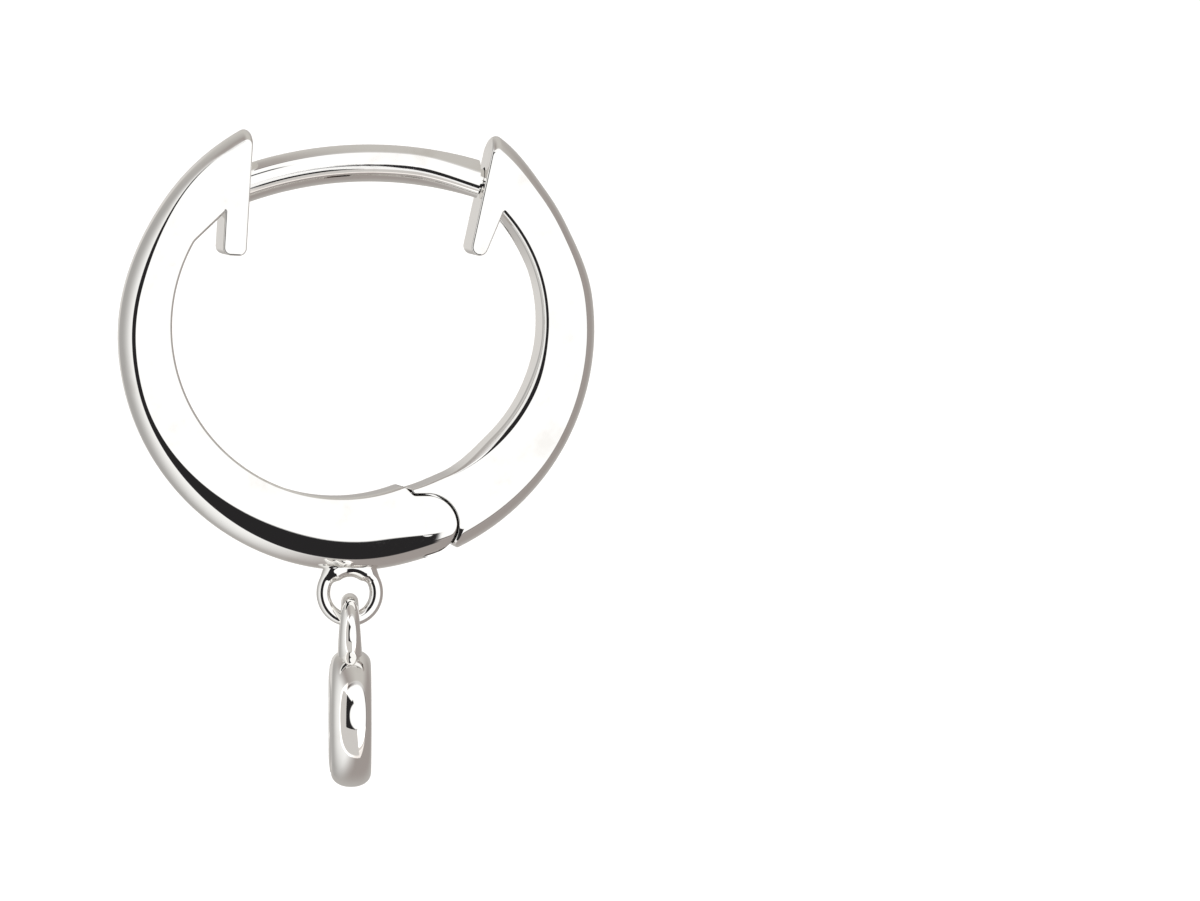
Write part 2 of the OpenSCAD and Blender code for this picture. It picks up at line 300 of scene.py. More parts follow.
@dataclass(frozen=True)
class CutStone:
    """A clear cut stone with polished facets.

    Attributes:
        name: name of the material.
        colour: colour of the clear stone.
        cloud: colour of its faintly clouded places.
        ior: how strongly it bends light.
    """

    name: str
    colour: tuple[float, float, float] = (1.0, 1.0, 1.0)
    cloud: tuple[float, float, float] = (0.95, 0.96, 0.98)
    ior: float = 2.4

    def build(self) -> bpy.types.Material:
        """Make the material and return it."""
        made = bpy.data.materials.new(self.name)
        graph = graph_of(made)
        place = graph.place()
        cloud = graph.noise(place, 1.2, 2.0).step(0.5, 0.8)
        colour = graph.mix(cloud, opaque(*self.colour), opaque(*self.cloud))
        shader = graph.node(
            "ShaderNodeBsdfPrincipled",
            {},
            Base_Color=colour,
            Roughness=cloud * 0.01,
            IOR=self.ior,
            Transmission_Weight=1.0,
        )
        graph.node("ShaderNodeOutputMaterial", {}, Surface=shader.outputs[0])
        return made


# Mesh helpers


def new_object(name: str, data: bpy.types.ID) -> bpy.types.Object:
    """Put a mesh, light or camera in the scene and return its object."""
    made = bpy.data.objects.new(name, data)
    bpy.context.scene.collection.objects.link(made)
    return made


def mesh_object(name: str, points_mm: np.ndarray, faces: list) -> bpy.types.Object:
    """Make a smooth mesh object from points in millimetres and faces."""
    mesh = bpy.data.meshes.new(name)
    mesh.from_pydata([tuple(p) for p in np.asarray(points_mm) * MM], [], faces)
    mesh.validate()
    mesh.shade_smooth()
    return new_object(name, mesh)


def loft(name: str, rings: list[np.ndarray]) -> bpy.types.Object:
    """Join closed rings of equally many points into one closed solid.

    Args:
        name: name of the object.
        rings: one array of points in millimetres for each station.

    Returns:
        The solid, with a flat face at each end.
    """
    count = len(rings[0])
    faces = []
    for station in range(len(rings) - 1):
        low = station * count
        for i in range(count):
            j = (i + 1) % count
            faces.append((low + i, low + j, low + count + j, low + count + i))
    last = (len(rings) - 1) * count
    faces.append(tuple(range(count - 1, -1, -1)))
    faces.append(tuple(range(last, last + count)))
    made = mesh_object(name, np.concatenate(rings), faces)
    face_out(made)
    return made


def stand_up(outline: np.ndarray, y: float) -> np.ndarray:
    """Return the points of an outline in the XZ plane, at a place along Y."""
    return np.stack([outline[:, 0], np.full(len(outline), y), outline[:, 1]], axis=1)


def prism(name: str, outline: np.ndarray, half: float) -> bpy.types.Object:
    """Make a solid of even thickness across the Y axis, to carve or join with."""
    return loft(name, [stand_up(outline, y) for y in (-half, half)])


def disc(name: str, centre: np.ndarray, radius: float, half: float) -> bpy.types.Object:
    """Make a plain round disc across the Y axis, to carve or join with."""
    turn = np.linspace(0, 2 * math.pi, 160, endpoint=False)
    return prism(name, centre + radius * np.stack([np.cos(turn), np.sin(turn)], axis=1), half)


def revolve(name: str, profile: list, segments: int, place: Matrix) -> bpy.types.Object:
    """Turn a profile that starts and ends on the axis into a closed solid.

    Args:
        name: name of the object.
        profile: points (radius, height) in millimetres, the first and last with radius 0.
        segments: faces round the axis.
        place: where the solid goes, in millimetres.

    Returns:
        The solid of revolution.
    """
    turns = np.linspace(0, 2 * math.pi, segments, endpoint=False)
    points = [np.array([[0, 0, profile[0][1]]])]
    for radius, height in profile[1:-1]:
        ring = [radius * np.cos(turns), radius * np.sin(turns), np.full(segments, height)]
        points.append(np.stack(ring, axis=1))
    points.append(np.array([[0, 0, profile[-1][1]]]))
    faces = []
    rings = len(profile) - 2
    end = 1 + rings * segments
    for i in range(segments):
        j = (i + 1) % segments
        faces.append((0, 1 + j, 1 + i))
        for ring in range(rings - 1):
            low = 1 + ring * segments
            faces.append((low + i, low + j, low + segments + j, low + segments + i))
        faces.append((end, end - segments + i, end - segments + j))
    made = mesh_object(name, np.concatenate(points), faces)
    face_out(made)
    set_down(made, place)
    return made


def face_out(piece: bpy.types.Object) -> None:
    """Turn the faces of a closed solid outwards."""
    body = bmesh.new()
    body.from_mesh(piece.data)
    bmesh.ops.recalc_face_normals(body, faces=body.faces)
    body.to_mesh(piece.data)
    body.free()


def set_down(piece: bpy.types.Object, place: Matrix) -> None:
    """Move a mesh to its place, given in millimetres, and leave its object at the origin."""
    move = place.copy()
    move.translation = place.translation * MM
    piece.data.transform(move)


def settle(piece: bpy.types.Object) -> bpy.types.Object:
    """Turn an object's modifiers into a plain mesh and return the object."""
    graph = bpy.context.evaluated_depsgraph_get()
    mesh = bpy.data.meshes.new_from_object(piece.evaluated_get(graph), depsgraph=graph)
    piece.modifiers.clear()
    piece.data = mesh
    return piece


def combine(piece: bpy.types.Object, other: bpy.types.Object, how: Cut) -> bpy.types.Object:
    """Join, carve or trim a solid with another, which is used up."""
    step = piece.modifiers.new("combine", "BOOLEAN")
    step.operation = how.value
    step.solver = "EXACT"
    step.object = other
    settle(piece)
    bpy.data.objects.remove(other)
    return piece


def sharpen(piece: bpy.types.Object, degrees: float = CREASE) -> None:
    """Shade a mesh smooth, but for its flat sides and its edges sharper than an angle."""
    piece.data.shade_smooth()
    piece.data.set_sharp_from_angle(angle=math.radians(degrees))
    for face in piece.data.polygons:
        face.use_smooth = abs(face.normal.y) < FLAT_SIDE


def finish_piece(
    piece: bpy.types.Object,
    material: bpy.types.Material,
    body: Body,
    nodes: tuple[str, ...],
) -> None:
    """Dress a piece and hang it on its body.

    Args:
        piece: the finished mesh object.
        material: its finish.
        body: the body that it moves with.
        nodes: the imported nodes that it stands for.
    """
    piece.data.materials.clear()
    piece.data.materials.append(material)
    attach(piece, body.value)
    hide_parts(*nodes)
    LOG.info("%s: %d faces on %s", piece.name, len(piece.data.polygons), body.value)


# Outlines of flat plates


@dataclass(frozen=True)
class Ramp:
    """A soft change of a size along a round edge.

    Attributes:
        amount: how much the size changes by, in millimetres.
        start: angle where the change begins, in degrees.
        end: angle where it is whole, which may be below start.
    """

    amount: float
    start: float
    end: float

    def at(self, angle: np.ndarray) -> np.ndarray:
        """Return the change at some angles, each taken within half a turn of the ramp."""
        middle = (self.start + self.end) / 2
        near = np.mod(np.asarray(angle, float) - middle + 180.0, 360.0) - 180.0 + middle
        return self.amount * smooth(self.start, self.end, near)


def total(base: float, ramps: tuple[Ramp, ...], angle: np.ndarray) -> np.ndarray:
    """Return a size at some angles, with all its ramps."""
    return base + sum((ramp.at(angle) for ramp in ramps), np.zeros(np.shape(angle)))


@dataclass(frozen=True)
class Rounding:
    """A small rounding where an edge of a plate meets its flat sides.

    Attributes:
        radius: its radius.
        swells: how the radius changes along the edge.
        sinks: how far the edge itself sinks into the material along the edge.
        proud: how far it stands out of its outline before that.
    """

    radius: float
    swells: tuple[Ramp, ...] = ()
    sinks: tuple[Ramp, ...] = ()
    proud: float = 0.0

    def inset(self, at: np.ndarray, y: float, half: float) -> np.ndarray:
        """Return how far the edge lies inside its outline.

        Args:
            at: angles along the edge in degrees.
            y: place across the plate, from its middle.
            half: half the plate's thickness.

        Returns:
            The inset in millimetres, one for each angle.
        """
        radius = total(self.radius, self.swells, at)
        over = np.clip((abs(y) - half) / radius + 1, 0.0, 1.0)
        return radius * (1 - np.sqrt(1 - over * over)) + total(-self.proud, self.sinks, at)


@dataclass(frozen=True)
class Dome:
    """The domed outer edge of the band.

    Attributes:
        depth: depth of the dome.
        swells: how the depth changes along the edge.
        sinks: how far the crown itself sinks along the edge.
    """

    depth: float
    swells: tuple[Ramp, ...] = ()
    sinks: tuple[Ramp, ...] = ()

    def inset(self, at: np.ndarray, y: float, half: float) -> np.ndarray:
        """Return how far the edge lies inside its outline, as Rounding does."""
        drop = 1 - math.sqrt(max(0.0, 1 - (y / half) ** 2))
        return total(self.depth, self.swells, at) * drop + total(0.0, self.sinks, at)


class Line:
    """What edges share whose points lie on a straight line.

    Attributes:
        samples: number of points between the edge's ends.
    """

    samples: int

    def angle_at(self, p: np.ndarray) -> float:
        """Return the angle that the edge's section goes by, which is one all along."""
        return 0.0

    def along(self, a: np.ndarray, b: np.ndarray, y: float, half: float) -> np.ndarray:
        """Return points on the edge between two of its points, without them."""
        return a + (b - a) * np.linspace(0, 1, self.samples + 2)[1:-1, None]


@dataclass(frozen=True)
class Straight(Line):
    """A straight edge of a plate.

    Attributes:
        point: a point on the edge.
        outward: direction out of the material.
        section: how the edge is rounded.
        samples: points along the edge.
    """

    point: np.ndarray
    outward: np.ndarray
    section: Rounding
    samples: int = 10

    def gap(self, p: np.ndarray, y: float, half: float) -> float:
        """Return how far a point lies outside the edge at a place across the plate."""
        return float((p - self.point) @ self.outward + self.section.inset(0.0, y, half))

    def normal(self, p: np.ndarray, y: float) -> np.ndarray:
        """Return the direction out of the material."""
        return self.outward


@dataclass(frozen=True)
class Round:
    """A round edge of a plate.

    Attributes:
        centre: centre of the circle.
        radius: its radius.
        section: how the edge is rounded.
        samples: points along the edge.
        hollow: whether the material lies outside the circle.
    """

    centre: np.ndarray
    radius: float
    section: Rounding | Dome
    samples: int
    hollow: bool = False

    def angle_at(self, p: np.ndarray) -> float:
        """Return the direction of a point from the centre, in degrees."""
        return math.degrees(math.atan2(p[1] - self.centre[1], p[0] - self.centre[0]))

    def reach(self, at: np.ndarray, y: float, half: float) -> np.ndarray:
        """Return the edge's distance from the centre at some angles."""
        inset = self.section.inset(at, y, half)
        return self.radius + inset if self.hollow else self.radius - inset

    def gap(self, p: np.ndarray, y: float, half: float) -> float:
        """Return how far a point lies outside the edge at a place across the plate."""
        over = float(np.linalg.norm(p - self.centre)) - self.radius
        side = -1.0 if self.hollow else 1.0
        return side * over + float(self.section.inset(self.angle_at(p), y, half))

    def normal(self, p: np.ndarray, y: float) -> np.ndarray:
        """Return the direction out of the material at a point."""
        away = (p - self.centre) / np.linalg.norm(p - self.centre)
        return -away if self.hollow else away

    def along(self, a: np.ndarray, b: np.ndarray, y: float, half: float) -> np.ndarray:
        """Return points on the edge between two of its points, without them."""
        start = self.angle_at(a)
        sweep = (self.angle_at(b) - start) % 360.0
        if self.hollow:
            sweep -= 360.0
        at = start + sweep * np.linspace(0, 1, self.samples + 2)[1:-1]
        reach = self.reach(at, y, half)
        turn = np.radians(at)
        return self.centre + np.stack([reach * np.cos(turn), reach * np.sin(turn)], axis=1)


@dataclass(frozen=True)
class Shoulder(Line):
    """The stop beside a hinge seat, a straight edge that always points at the hinge's middle.

    Attributes:
        pin: middle of the hinge.
        seat_r: radius of the seat.
        outer: the outer edge that it runs out to.
        lowest: its direction from the hinge at the middle of the band, in degrees.
        half: half the band's width.
        clear: angle in degrees that it keeps from where the seat meets the outer edge.
        outer_at: angle along the outer edge where the stop lies.
        blend: how softly its direction changes across the band, in degrees.
        samples: points along the edge.
        section: how the edge is rounded.
    """

    pin: np.ndarray
    seat_r: float
    outer: Round
    lowest: float
    half: float
    clear: float = 6.0
    outer_at: float = 299.0
    blend: float = 5.0
    samples: int = 4
    section: Rounding = Rounding(0.03)

    def direction(self, y: float) -> float:
        """Return the stop's direction from the hinge at a place across the plate, in degrees."""
        away = self.pin - self.outer.centre
        apart = float(np.linalg.norm(away))
        reach = float(self.outer.reach(self.outer_at, y, self.half))
        share = (reach**2 - apart**2 - self.seat_r**2) / (2 * apart * self.seat_r)
        meet = math.degrees(math.atan2(away[1], away[0]) + math.acos(min(1.0, share)))
        free = (meet + self.clear - self.lowest) / self.blend
        return self.lowest + self.blend * math.log(math.exp(free) + 1.0)

    def gap(self, p: np.ndarray, y: float, half: float) -> float:
        """Return how far a point lies outside the edge at a place across the plate."""
        return float((p - self.pin) @ self.normal(p, y) + self.section.inset(0.0, y, half))

    def normal(self, p: np.ndarray, y: float) -> np.ndarray:
        """Return the direction out of the material."""
        turn = math.radians(self.direction(y))
        return np.array([math.sin(turn), -math.cos(turn)])


@dataclass(frozen=True)
class Corner:
    """A corner between two edges of an outline, rounded or joined smoothly.

    Attributes:
        near: a point close to the corner.
        radius: radius of the rounding in the outline.
        inner: whether the corner points into the material.
        join: for edges that run into each other, the direction of the joint from the round edge's
            centre.
        samples: points round the corner.
    """

    near: np.ndarray
    radius: float = 0.05
    inner: bool = False
    join: float | None = None
    samples: int = 6


LEAST_CORNER = 0.02
NUDGE = 1e-6
CLOSE = 1e-10
SOLVE_STEPS = 120
LONGEST_STEP = 0.04


@dataclass
class Plate:
    """A plate whose outline is a loop of edges, with each edge rounded in its own way.

    Attributes:
        edges: edges in order, with the material on the left of the way round.
        corners: corner i lies between edge i and the next edge.
        half: half the plate's thickness.
        stations: rings across the plate.
    """

    edges: list[Straight | Round | Shoulder]
    corners: list[Corner]
    half: float
    stations: int = 65

    def _solve(self, index: int, y: float, start: np.ndarray, radius: float) -> np.ndarray:
        """Find the centre of a corner's rounding at a place across the plate."""
        pair = (self.edges[index], self.edges[(index + 1) % len(self.edges)])
        shift = -radius if self.corners[index].inner else radius
        p = np.array(start, float)
        for _ in range(SOLVE_STEPS):
            now = np.array([edge.gap(p, y, self.half) + shift for edge in pair])
            if np.abs(now).max() < CLOSE:
                break
            slope = np.zeros((2, 2))
            for axis in range(2):
                moved = p.copy()
                moved[axis] += NUDGE
                then = np.array([edge.gap(moved, y, self.half) + shift for edge in pair])
                slope[:, axis] = (then - now) / NUDGE
            move = np.linalg.solve(slope, now)
            p = p - move * min(1.0, LONGEST_STEP / max(np.linalg.norm(move), NUDGE))
        return p

    def _bend(self, index: int, y: float, start: np.ndarray) -> tuple[np.ndarray, np.ndarray]:
        """Return a corner's points at a place across the plate, and the centre of its rounding."""
        corner = self.corners[index]
        edge = self.edges[index]
        after = self.edges[(index + 1) % len(self.edges)]
        if corner.join is not None:
            around = edge if isinstance(edge, Round) else after
            reach = float(around.reach(corner.join, y, self.half))
            return (around.centre + polar(reach, corner.join))[None, :], start
        insets = [e.section.inset(e.angle_at(start), y, self.half) for e in (edge, after)]
        least = float(min(insets))
        radius = max(corner.radius - least, LEAST_CORNER)
        if corner.inner:
            radius = corner.radius + least
        centre = self._solve(index, y, start, radius)
        side = -1.0 if corner.inner else 1.0
        first = side * edge.normal(centre, y)
        second = side * after.normal(centre, y)
        begin = math.atan2(first[1], first[0])
        sweep = math.atan2(second[1], second[0]) - begin
        sweep = (sweep + math.pi) % (2 * math.pi) - math.pi
        turn = begin + sweep * np.linspace(0, 1, corner.samples)
        return centre + radius * np.stack([np.cos(turn), np.sin(turn)], axis=1), centre

    def ring(self, y: float, starts: list[np.ndarray]) -> tuple[np.ndarray, list[np.ndarray]]:
        """Return the outline at a place across the plate, and the corner centres found."""
        bends = [self._bend(i, y, starts[i]) for i in range(len(self.edges))]
        points = []
        for i, edge in enumerate(self.edges):
            before = bends[i - 1][0]
            after = bends[i][0]
            points.append(edge.along(before[-1], after[0], y, self.half))
            points.append(after)
        return np.concatenate(points), [centre for _, centre in bends]

    def build(self, name: str) -> bpy.types.Object:
        """Make the plate across the Y axis and return it."""
        angles = np.linspace(0, math.pi / 2, self.stations // 2 + 1)
        starts = [corner.near for corner in self.corners]
        half_rings = []
        for angle in angles:
            y = self.half * math.sin(angle)
            outline, starts = self.ring(y, starts)
            half_rings.append((y, outline))
        whole = [(-y, outline) for y, outline in reversed(half_rings[1:])] + half_rings
        return loft(name, [stand_up(outline, y) for y, outline in whole])


# Wires made by geometry nodes


@dataclass(frozen=True)
class WireTree:
    """A round wire bent to a ring or an arc, with a flare where it starts and ends.

    Attributes:
        closed: whether the wire is a whole ring.
        sides: points round the wire.
        steps: points along it.
    """

    closed: bool
    sides: int = 40
    steps: int = 160

    def tree(self) -> bpy.types.NodeTree:
        """Build the node tree, with an input for each size."""
        title = "wire_ring" if self.closed else "wire_arc"
        made = bpy.data.node_groups.new(title, "GeometryNodeTree")
        sizes = ["Bend Radius", "Wire Radius", "Start", "Sweep", "Flare", "Flare From", "Flare To"]
        sockets = [
            ("Geometry", "INPUT", "Geometry"),
            *((size, "INPUT", "Float") for size in sizes),
            ("Finish", "INPUT", "Material"),
            ("Geometry", "OUTPUT", "Geometry"),
        ]
        for name, way, kind in sockets:
            made.interface.new_socket(name, in_out=way, socket_type=f"NodeSocket{kind}")
        graph = Graph(made)
        given = made.nodes.new("NodeGroupInput").outputs
        if self.closed:
            path = graph.node(
                "GeometryNodeCurvePrimitiveCircle",
                {},
                Resolution=self.steps,
                Radius=given["Bend Radius"],
            )
        else:
            path = graph.node(
                "GeometryNodeCurveArc",
                {"mode": "RADIUS"},
                Resolution=self.steps,
                Radius=given["Bend Radius"],
                Start_Angle=given["Start"],
                Sweep_Angle=given["Sweep"],
            )
        share = graph.add("GeometryNodeSplineParameter", {})
        from_end = 1.0 - (share * 2.0 - 1.0).absolute()
        thicker = graph.add(
            "ShaderNodeMapRange",
            {"interpolation_type": "SMOOTHSTEP", "clamp": True},
            from_end,
            given["Flare From"],
            given["Flare To"],
            given["Flare"],
            0.0,
        )
        section = graph.node(
            "GeometryNodeCurvePrimitiveCircle",
            {},
            Resolution=self.sides,
            Radius=given["Wire Radius"],
        )
        wire = graph.node(
            "GeometryNodeCurveToMesh",
            {},
            Curve=path.outputs[0],
            Profile_Curve=section.outputs[0],
            Scale=thicker + 1.0,
            Fill_Caps=True,
        )
        soft_wire = graph.node("GeometryNodeSetShadeSmooth", {}, wire.outputs[0])
        real = graph.node("GeometryNodeRealizeInstances", {}, soft_wire.outputs[0])
        dressed = graph.node(
            "GeometryNodeSetMaterial", {}, real.outputs[0], Material=given["Finish"]
        )
        graph.node("NodeGroupOutput", {}, dressed.outputs[0])
        return made

    def build(
        self,
        name: str,
        bend: float,
        wire: float,
        place: Matrix,
        finish: bpy.types.Material,
        start: float = 0.0,
        sweep: float = 0.0,
        flare: float = 0.0,
        flare_run: tuple[float, float] = (0.0, 1.0),
    ) -> bpy.types.Object:
        """Bend one wire.

        Args:
            name: name of the object.
            bend: radius of the wire's middle line.
            wire: radius of the wire.
            place: where the ring's own XY plane goes, in millimetres.
            finish: the wire's material.
            start: angle of an arc's start, in degrees.
            sweep: angle that an arc goes through, in degrees.
            flare: share by which the wire is thicker at its start and end.
            flare_run: shares of the half way round, up to which the flare is whole and where it
                has faded out.

        Returns:
            The wire as a plain mesh.
        """
        tree = self.tree()
        made = new_object(name, bpy.data.meshes.new(name))
        step = made.modifiers.new("wire", "NODES")
        step.node_group = tree
        values = {
            "Bend Radius": bend * MM,
            "Wire Radius": wire * MM,
            "Start": math.radians(start),
            "Sweep": math.radians(sweep),
            "Flare": flare,
            "Flare From": flare_run[0],
            "Flare To": flare_run[1],
            "Finish": finish,
        }
        for socket in tree.interface.items_tree:
            if socket.in_out == "INPUT" and socket.name in values:
                step[socket.identifier] = values[socket.name]
        settle(made)
        face_out(made)
        set_down(made, place)
        return made


def upright(centre: np.ndarray, turn: float = 0.0) -> Matrix:
    """Return the place of a ring that stands in the XZ plane.

    Args:
        centre: its centre (x, z).
        turn: angle in degrees of the ring's start from +X towards +Z.

    Returns:
        The place in millimetres.
    """
    stand = Matrix.Rotation(math.radians(90), 4, "X")
    spin = Matrix.Rotation(math.radians(turn), 4, "Z")
    return Matrix.Translation(Vector((centre[0], 0, centre[1]))) @ stand @ spin


# The hoop


@dataclass(frozen=True)
class HoopPlan:
    """Centres and sizes that both halves of the hoop share, as the part's source has them.

    Attributes:
        hoop_r: radius of the front half up to the foot of its crown.
        crown: height of the crown over the band's sides.
        hoop_back: how far the hoop's centre lies to -X of the post's middle.
        post_rise: height of the post's middle over the hoop's centre.
        band_w: width of the band.
        front_thin: thickness of the front half where it is thinnest, without its crown.
        front_swell: how far its inner circle is off centre.
        front_thin_at: direction of that thinnest place.
        arm_extra_r: how much larger the rear half is.
        arm_thin: thickness of the rear half where it is thinnest, without its crown.
        arm_swell: how far its inner circle is off centre.
        arm_thin_at: direction of that thinnest place.
        jaw_gap: distance between the jaw walls at the post's middle.
        front_lean: lean of the front jaw's wall.
        rear_lean: lean of the rear jaw's wall.
        hinge_at: direction of the hinge from the hoop's centre.
        knuckle_r: radius of the hinge's round end.
        knuckle_in: how far that end lies inside the crown.
        pin_d: diameter of the hinge pin.
        pin_run: gap round the pin in the rear half.
        tongue_w: width of the rear half's knuckle.
        cheek_gap: gap between the knuckle and each cheek.
        seam: gap between the halves.
        beak_flat: length of the seam's flat stretch.
        beak_bevel: slope of its bevel.
        shoulder_at: direction of the stop from the hinge.
    """

    hoop_r: float = 6.36
    crown: float = 0.42
    hoop_back: float = 0.385
    post_rise: float = 4.85
    band_w: float = 1.6
    front_thin: float = 0.88
    front_swell: float = 0.49
    front_thin_at: float = 152.0
    arm_extra_r: float = 0.1
    arm_thin: float = 0.98
    arm_swell: float = 0.78
    arm_thin_at: float = 17.0
    jaw_gap: float = 6.85
    front_lean: float = 3.5
    rear_lean: float = 12.5
    hinge_at: float = -70.0
    knuckle_r: float = 0.87
    knuckle_in: float = 0.07
    pin_d: float = 0.6
    pin_run: float = 0.03
    tongue_w: float = 0.5
    cheek_gap: float = 0.04
    seam: float = 0.05
    beak_flat: float = 0.38
    beak_bevel: float = 45.0
    shoulder_at: float = -34.0

    @property
    def hoop_c(self) -> np.ndarray:
        """Centre of the hoop."""
        return np.array([-self.hoop_back, -self.post_rise])

    @property
    def outer_r(self) -> float:
        """Radius of the front half over its crown."""
        return self.hoop_r + self.crown

    @property
    def pin_c(self) -> np.ndarray:
        """Centre of the hinge pin."""
        return self.hoop_c + polar(self.outer_r - self.knuckle_in - self.knuckle_r, self.hinge_at)

    @property
    def arm_c(self) -> np.ndarray:
        """Centre of the rear half."""
        return self.hoop_c + polar(self.arm_extra_r, 90 + self.hinge_at / 2)

    @property
    def arm_in_c(self) -> np.ndarray:
        """Centre of the rear half's inner circle."""
        return self.arm_c + polar(self.arm_swell, self.arm_thin_at)

    @property
    def arm_in_r(self) -> float:
        """Radius of that circle."""
        return self.hoop_r + self.arm_extra_r - self.arm_thin - self.arm_swell

    @property
    def beak(self) -> np.ndarray:
        """Point where the flat stretch of the front half's seam meets its bevel."""
        return self.pin_c + np.array([-self.beak_flat, self.knuckle_r])

    @property
    def bevel(self) -> np.ndarray:
        """Way out of that bevel."""
        turn = math.radians(self.beak_bevel)
        return np.array([math.sin(turn), math.cos(turn)])

    @staticmethod
    def lean(degrees: float) -> tuple[np.ndarray, np.ndarray]:
        """Return the way up a wall that leans to +X, and the way out of it to +X."""
        turn = math.radians(degrees)
        return (
            np.array([math.sin(turn), math.cos(turn)]),
            np.array([math.cos(turn), -math.sin(turn)]),
        )


SEAM_REACH = 1.2
BEVEL_RUN = 0.35
EDGE_ON = 0.5


@dataclass
class Half:
    """What both halves of the hoop share.

    Attributes:
        plan: their common centres and sizes.
        edge: rounding along the jaw's wall and tooth.
        seam_edge: rounding along the seam.
        apex_r: rounding of the jaw's top.
    """

    plan: HoopPlan
    edge: Rounding = Rounding(0.06)
    seam_edge: Rounding = Rounding(0.03)
    apex_r: float = 0.17

    def _in_seam(self, face: bpy.types.MeshPolygon) -> bool:
        """Tell whether a face lies inside the hinge's seam."""
        p = self.plan
        reach = SEAM_REACH * p.seam
        middle = np.array([face.center.x, face.center.z]) / MM
        from_pin = middle - p.pin_c
        from_beak = middle - p.beak
        on_round = abs(np.linalg.norm(from_pin) - p.knuckle_r) < reach and from_pin[0] > 0
        on_flat = -p.beak_flat < from_pin[0] <= 0 and abs(from_beak[1]) < reach
        on_bevel = abs(from_beak @ p.bevel) < reach and -BEVEL_RUN < from_beak[0] <= 0
        return abs(face.normal.y) < EDGE_ON and bool(on_round or on_flat or on_bevel)

    def dress(
        self,
        half: bpy.types.Object,
        finish: bpy.types.Material,
        seam_shade_and_dirt: bpy.types.Material,
        body: Body,
        node: str,
    ) -> None:
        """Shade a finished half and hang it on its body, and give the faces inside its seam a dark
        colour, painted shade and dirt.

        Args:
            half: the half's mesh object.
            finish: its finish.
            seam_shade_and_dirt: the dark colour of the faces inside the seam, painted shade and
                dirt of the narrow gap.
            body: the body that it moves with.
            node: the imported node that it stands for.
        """
        sharpen(half)
        finish_piece(half, finish, body, (node,))
        half.data.materials.append(seam_shade_and_dirt)
        # The faces inside the seam take the dark material, which paints the shade and dirt of the
        # narrow gap.
        for face in half.data.polygons:
            face.material_index = int(self._in_seam(face))


@dataclass
class FrontHalf(Half):
    """The front half of the hoop, with its jaw, tooth and hinge fork.

    Attributes:
        tooth_drop: how far the tooth reaches below the post's middle.
        tooth_t: thickness of the tooth.
        tooth_r: rounding of its end.
        haunch_drop: depth where the thickening inside the jaw meets the tooth.
        haunch_at: direction from the inner circle's centre where it starts.
        inner_edge: rounding along the inside of the band.
        dome: the outer edge.
        tip_r: rounding of the pointed corner at the seam.
    """

    tooth_drop: float = 2.62
    tooth_t: float = 0.68
    tooth_r: float = 0.22
    haunch_drop: float = 1.27
    haunch_at: float = 150.0
    inner_edge: Rounding = Rounding(0.12, proud=0.1)
    dome: Dome = Dome(
        0.44,
        (
            Ramp(0.76, 195.0, 258.0),
            Ramp(-0.62, 276.0, 300.0),
            Ramp(-0.23, 168.0, 133.0),
            Ramp(0.07, 131.0, 123.0),
        ),
        (Ramp(0.035, 268.0, 287.0), Ramp(0.13, 182.0, 146.0)),
    )
    tip_r: float = 0.05

    def outline(self) -> Plate:
        """Lay out the half's outline, from the jaw's top round the outside."""
        p = self.plan
        up, out = p.lean(p.front_lean)
        wall = np.array([-p.jaw_gap / 2, 0.0])
        foot = wall - self.tooth_drop * up
        in_c = p.hoop_c + polar(p.front_swell, p.front_thin_at)
        in_r = p.hoop_r - p.front_thin - p.front_swell
        low = in_c + polar(in_r, self.haunch_at)
        high = wall - self.haunch_drop * up - self.tooth_t * out
        rise = (high - low) / np.linalg.norm(high - low)
        beak = p.beak
        edges = [
            Round(p.hoop_c, p.outer_r, self.dome, 260),
            Round(p.pin_c, p.knuckle_r, self.seam_edge, 40),
            Straight(beak, np.array([0.0, 1.0]), self.seam_edge, 6),
            Straight(beak, p.bevel, self.seam_edge, 8),
            Round(in_c, in_r, self.inner_edge, 190, hollow=True),
            Straight(low, np.array([rise[1], -rise[0]]), self.inner_edge, 16),
            Straight(wall - self.tooth_t * out, -out, self.edge, 16),
            Straight(foot, -up, self.edge, 4),
            Straight(wall, out, self.edge, 30),
        ]
        corners = [
            Corner(p.pin_c + polar(0.7, -57.0), 0.22, samples=8),
            Corner(beak, join=90.0, samples=1),
            Corner(beak + np.array([0.05, 0.15]), 0.15, inner=True),
            Corner(in_c + polar(in_r, -58.0), self.tip_r),
            Corner(in_c + polar(in_r - 0.6, self.haunch_at), 0.6, inner=True, samples=12),
            Corner(high - 0.1 * rise - 0.1 * up, 0.06, inner=True),
            Corner(foot - self.tooth_t * out + 0.2 * up, self.tooth_r, samples=9),
            Corner(foot + 0.2 * up, self.tooth_r, samples=9),
            Corner(wall + 0.9 * up, self.apex_r, samples=10),
        ]
        return Plate(edges, corners, p.band_w / 2)

    def build(self, finish: bpy.types.Material, seam_shade_and_dirt: bpy.types.Material) -> bpy.types.Object:
        """Make the front half and hang it on its body."""
        p = self.plan
        half = self.outline().build("front_half")
        slot_half = p.tongue_w / 2 + p.cheek_gap
        slot = disc("slot", p.pin_c, p.knuckle_r + p.seam, slot_half)
        combine(half, slot, Cut.CARVE)
        self.dress(half, finish, seam_shade_and_dirt, Body.FRONT, "hoop_front")
        return half


RIVET_SINK = 0.02


def rivet(plan: HoopPlan, finish: bpy.types.Material) -> bpy.types.Object:
    """Make the hinge's rivet, whose ends are polished over by the cheeks round it."""
    made = disc("hinge_rivet", plan.pin_c, plan.pin_d / 2, plan.band_w / 2 - RIVET_SINK)
    sharpen(made)
    finish_piece(made, finish, Body.FRONT, ("hinge_pin",))
    return made


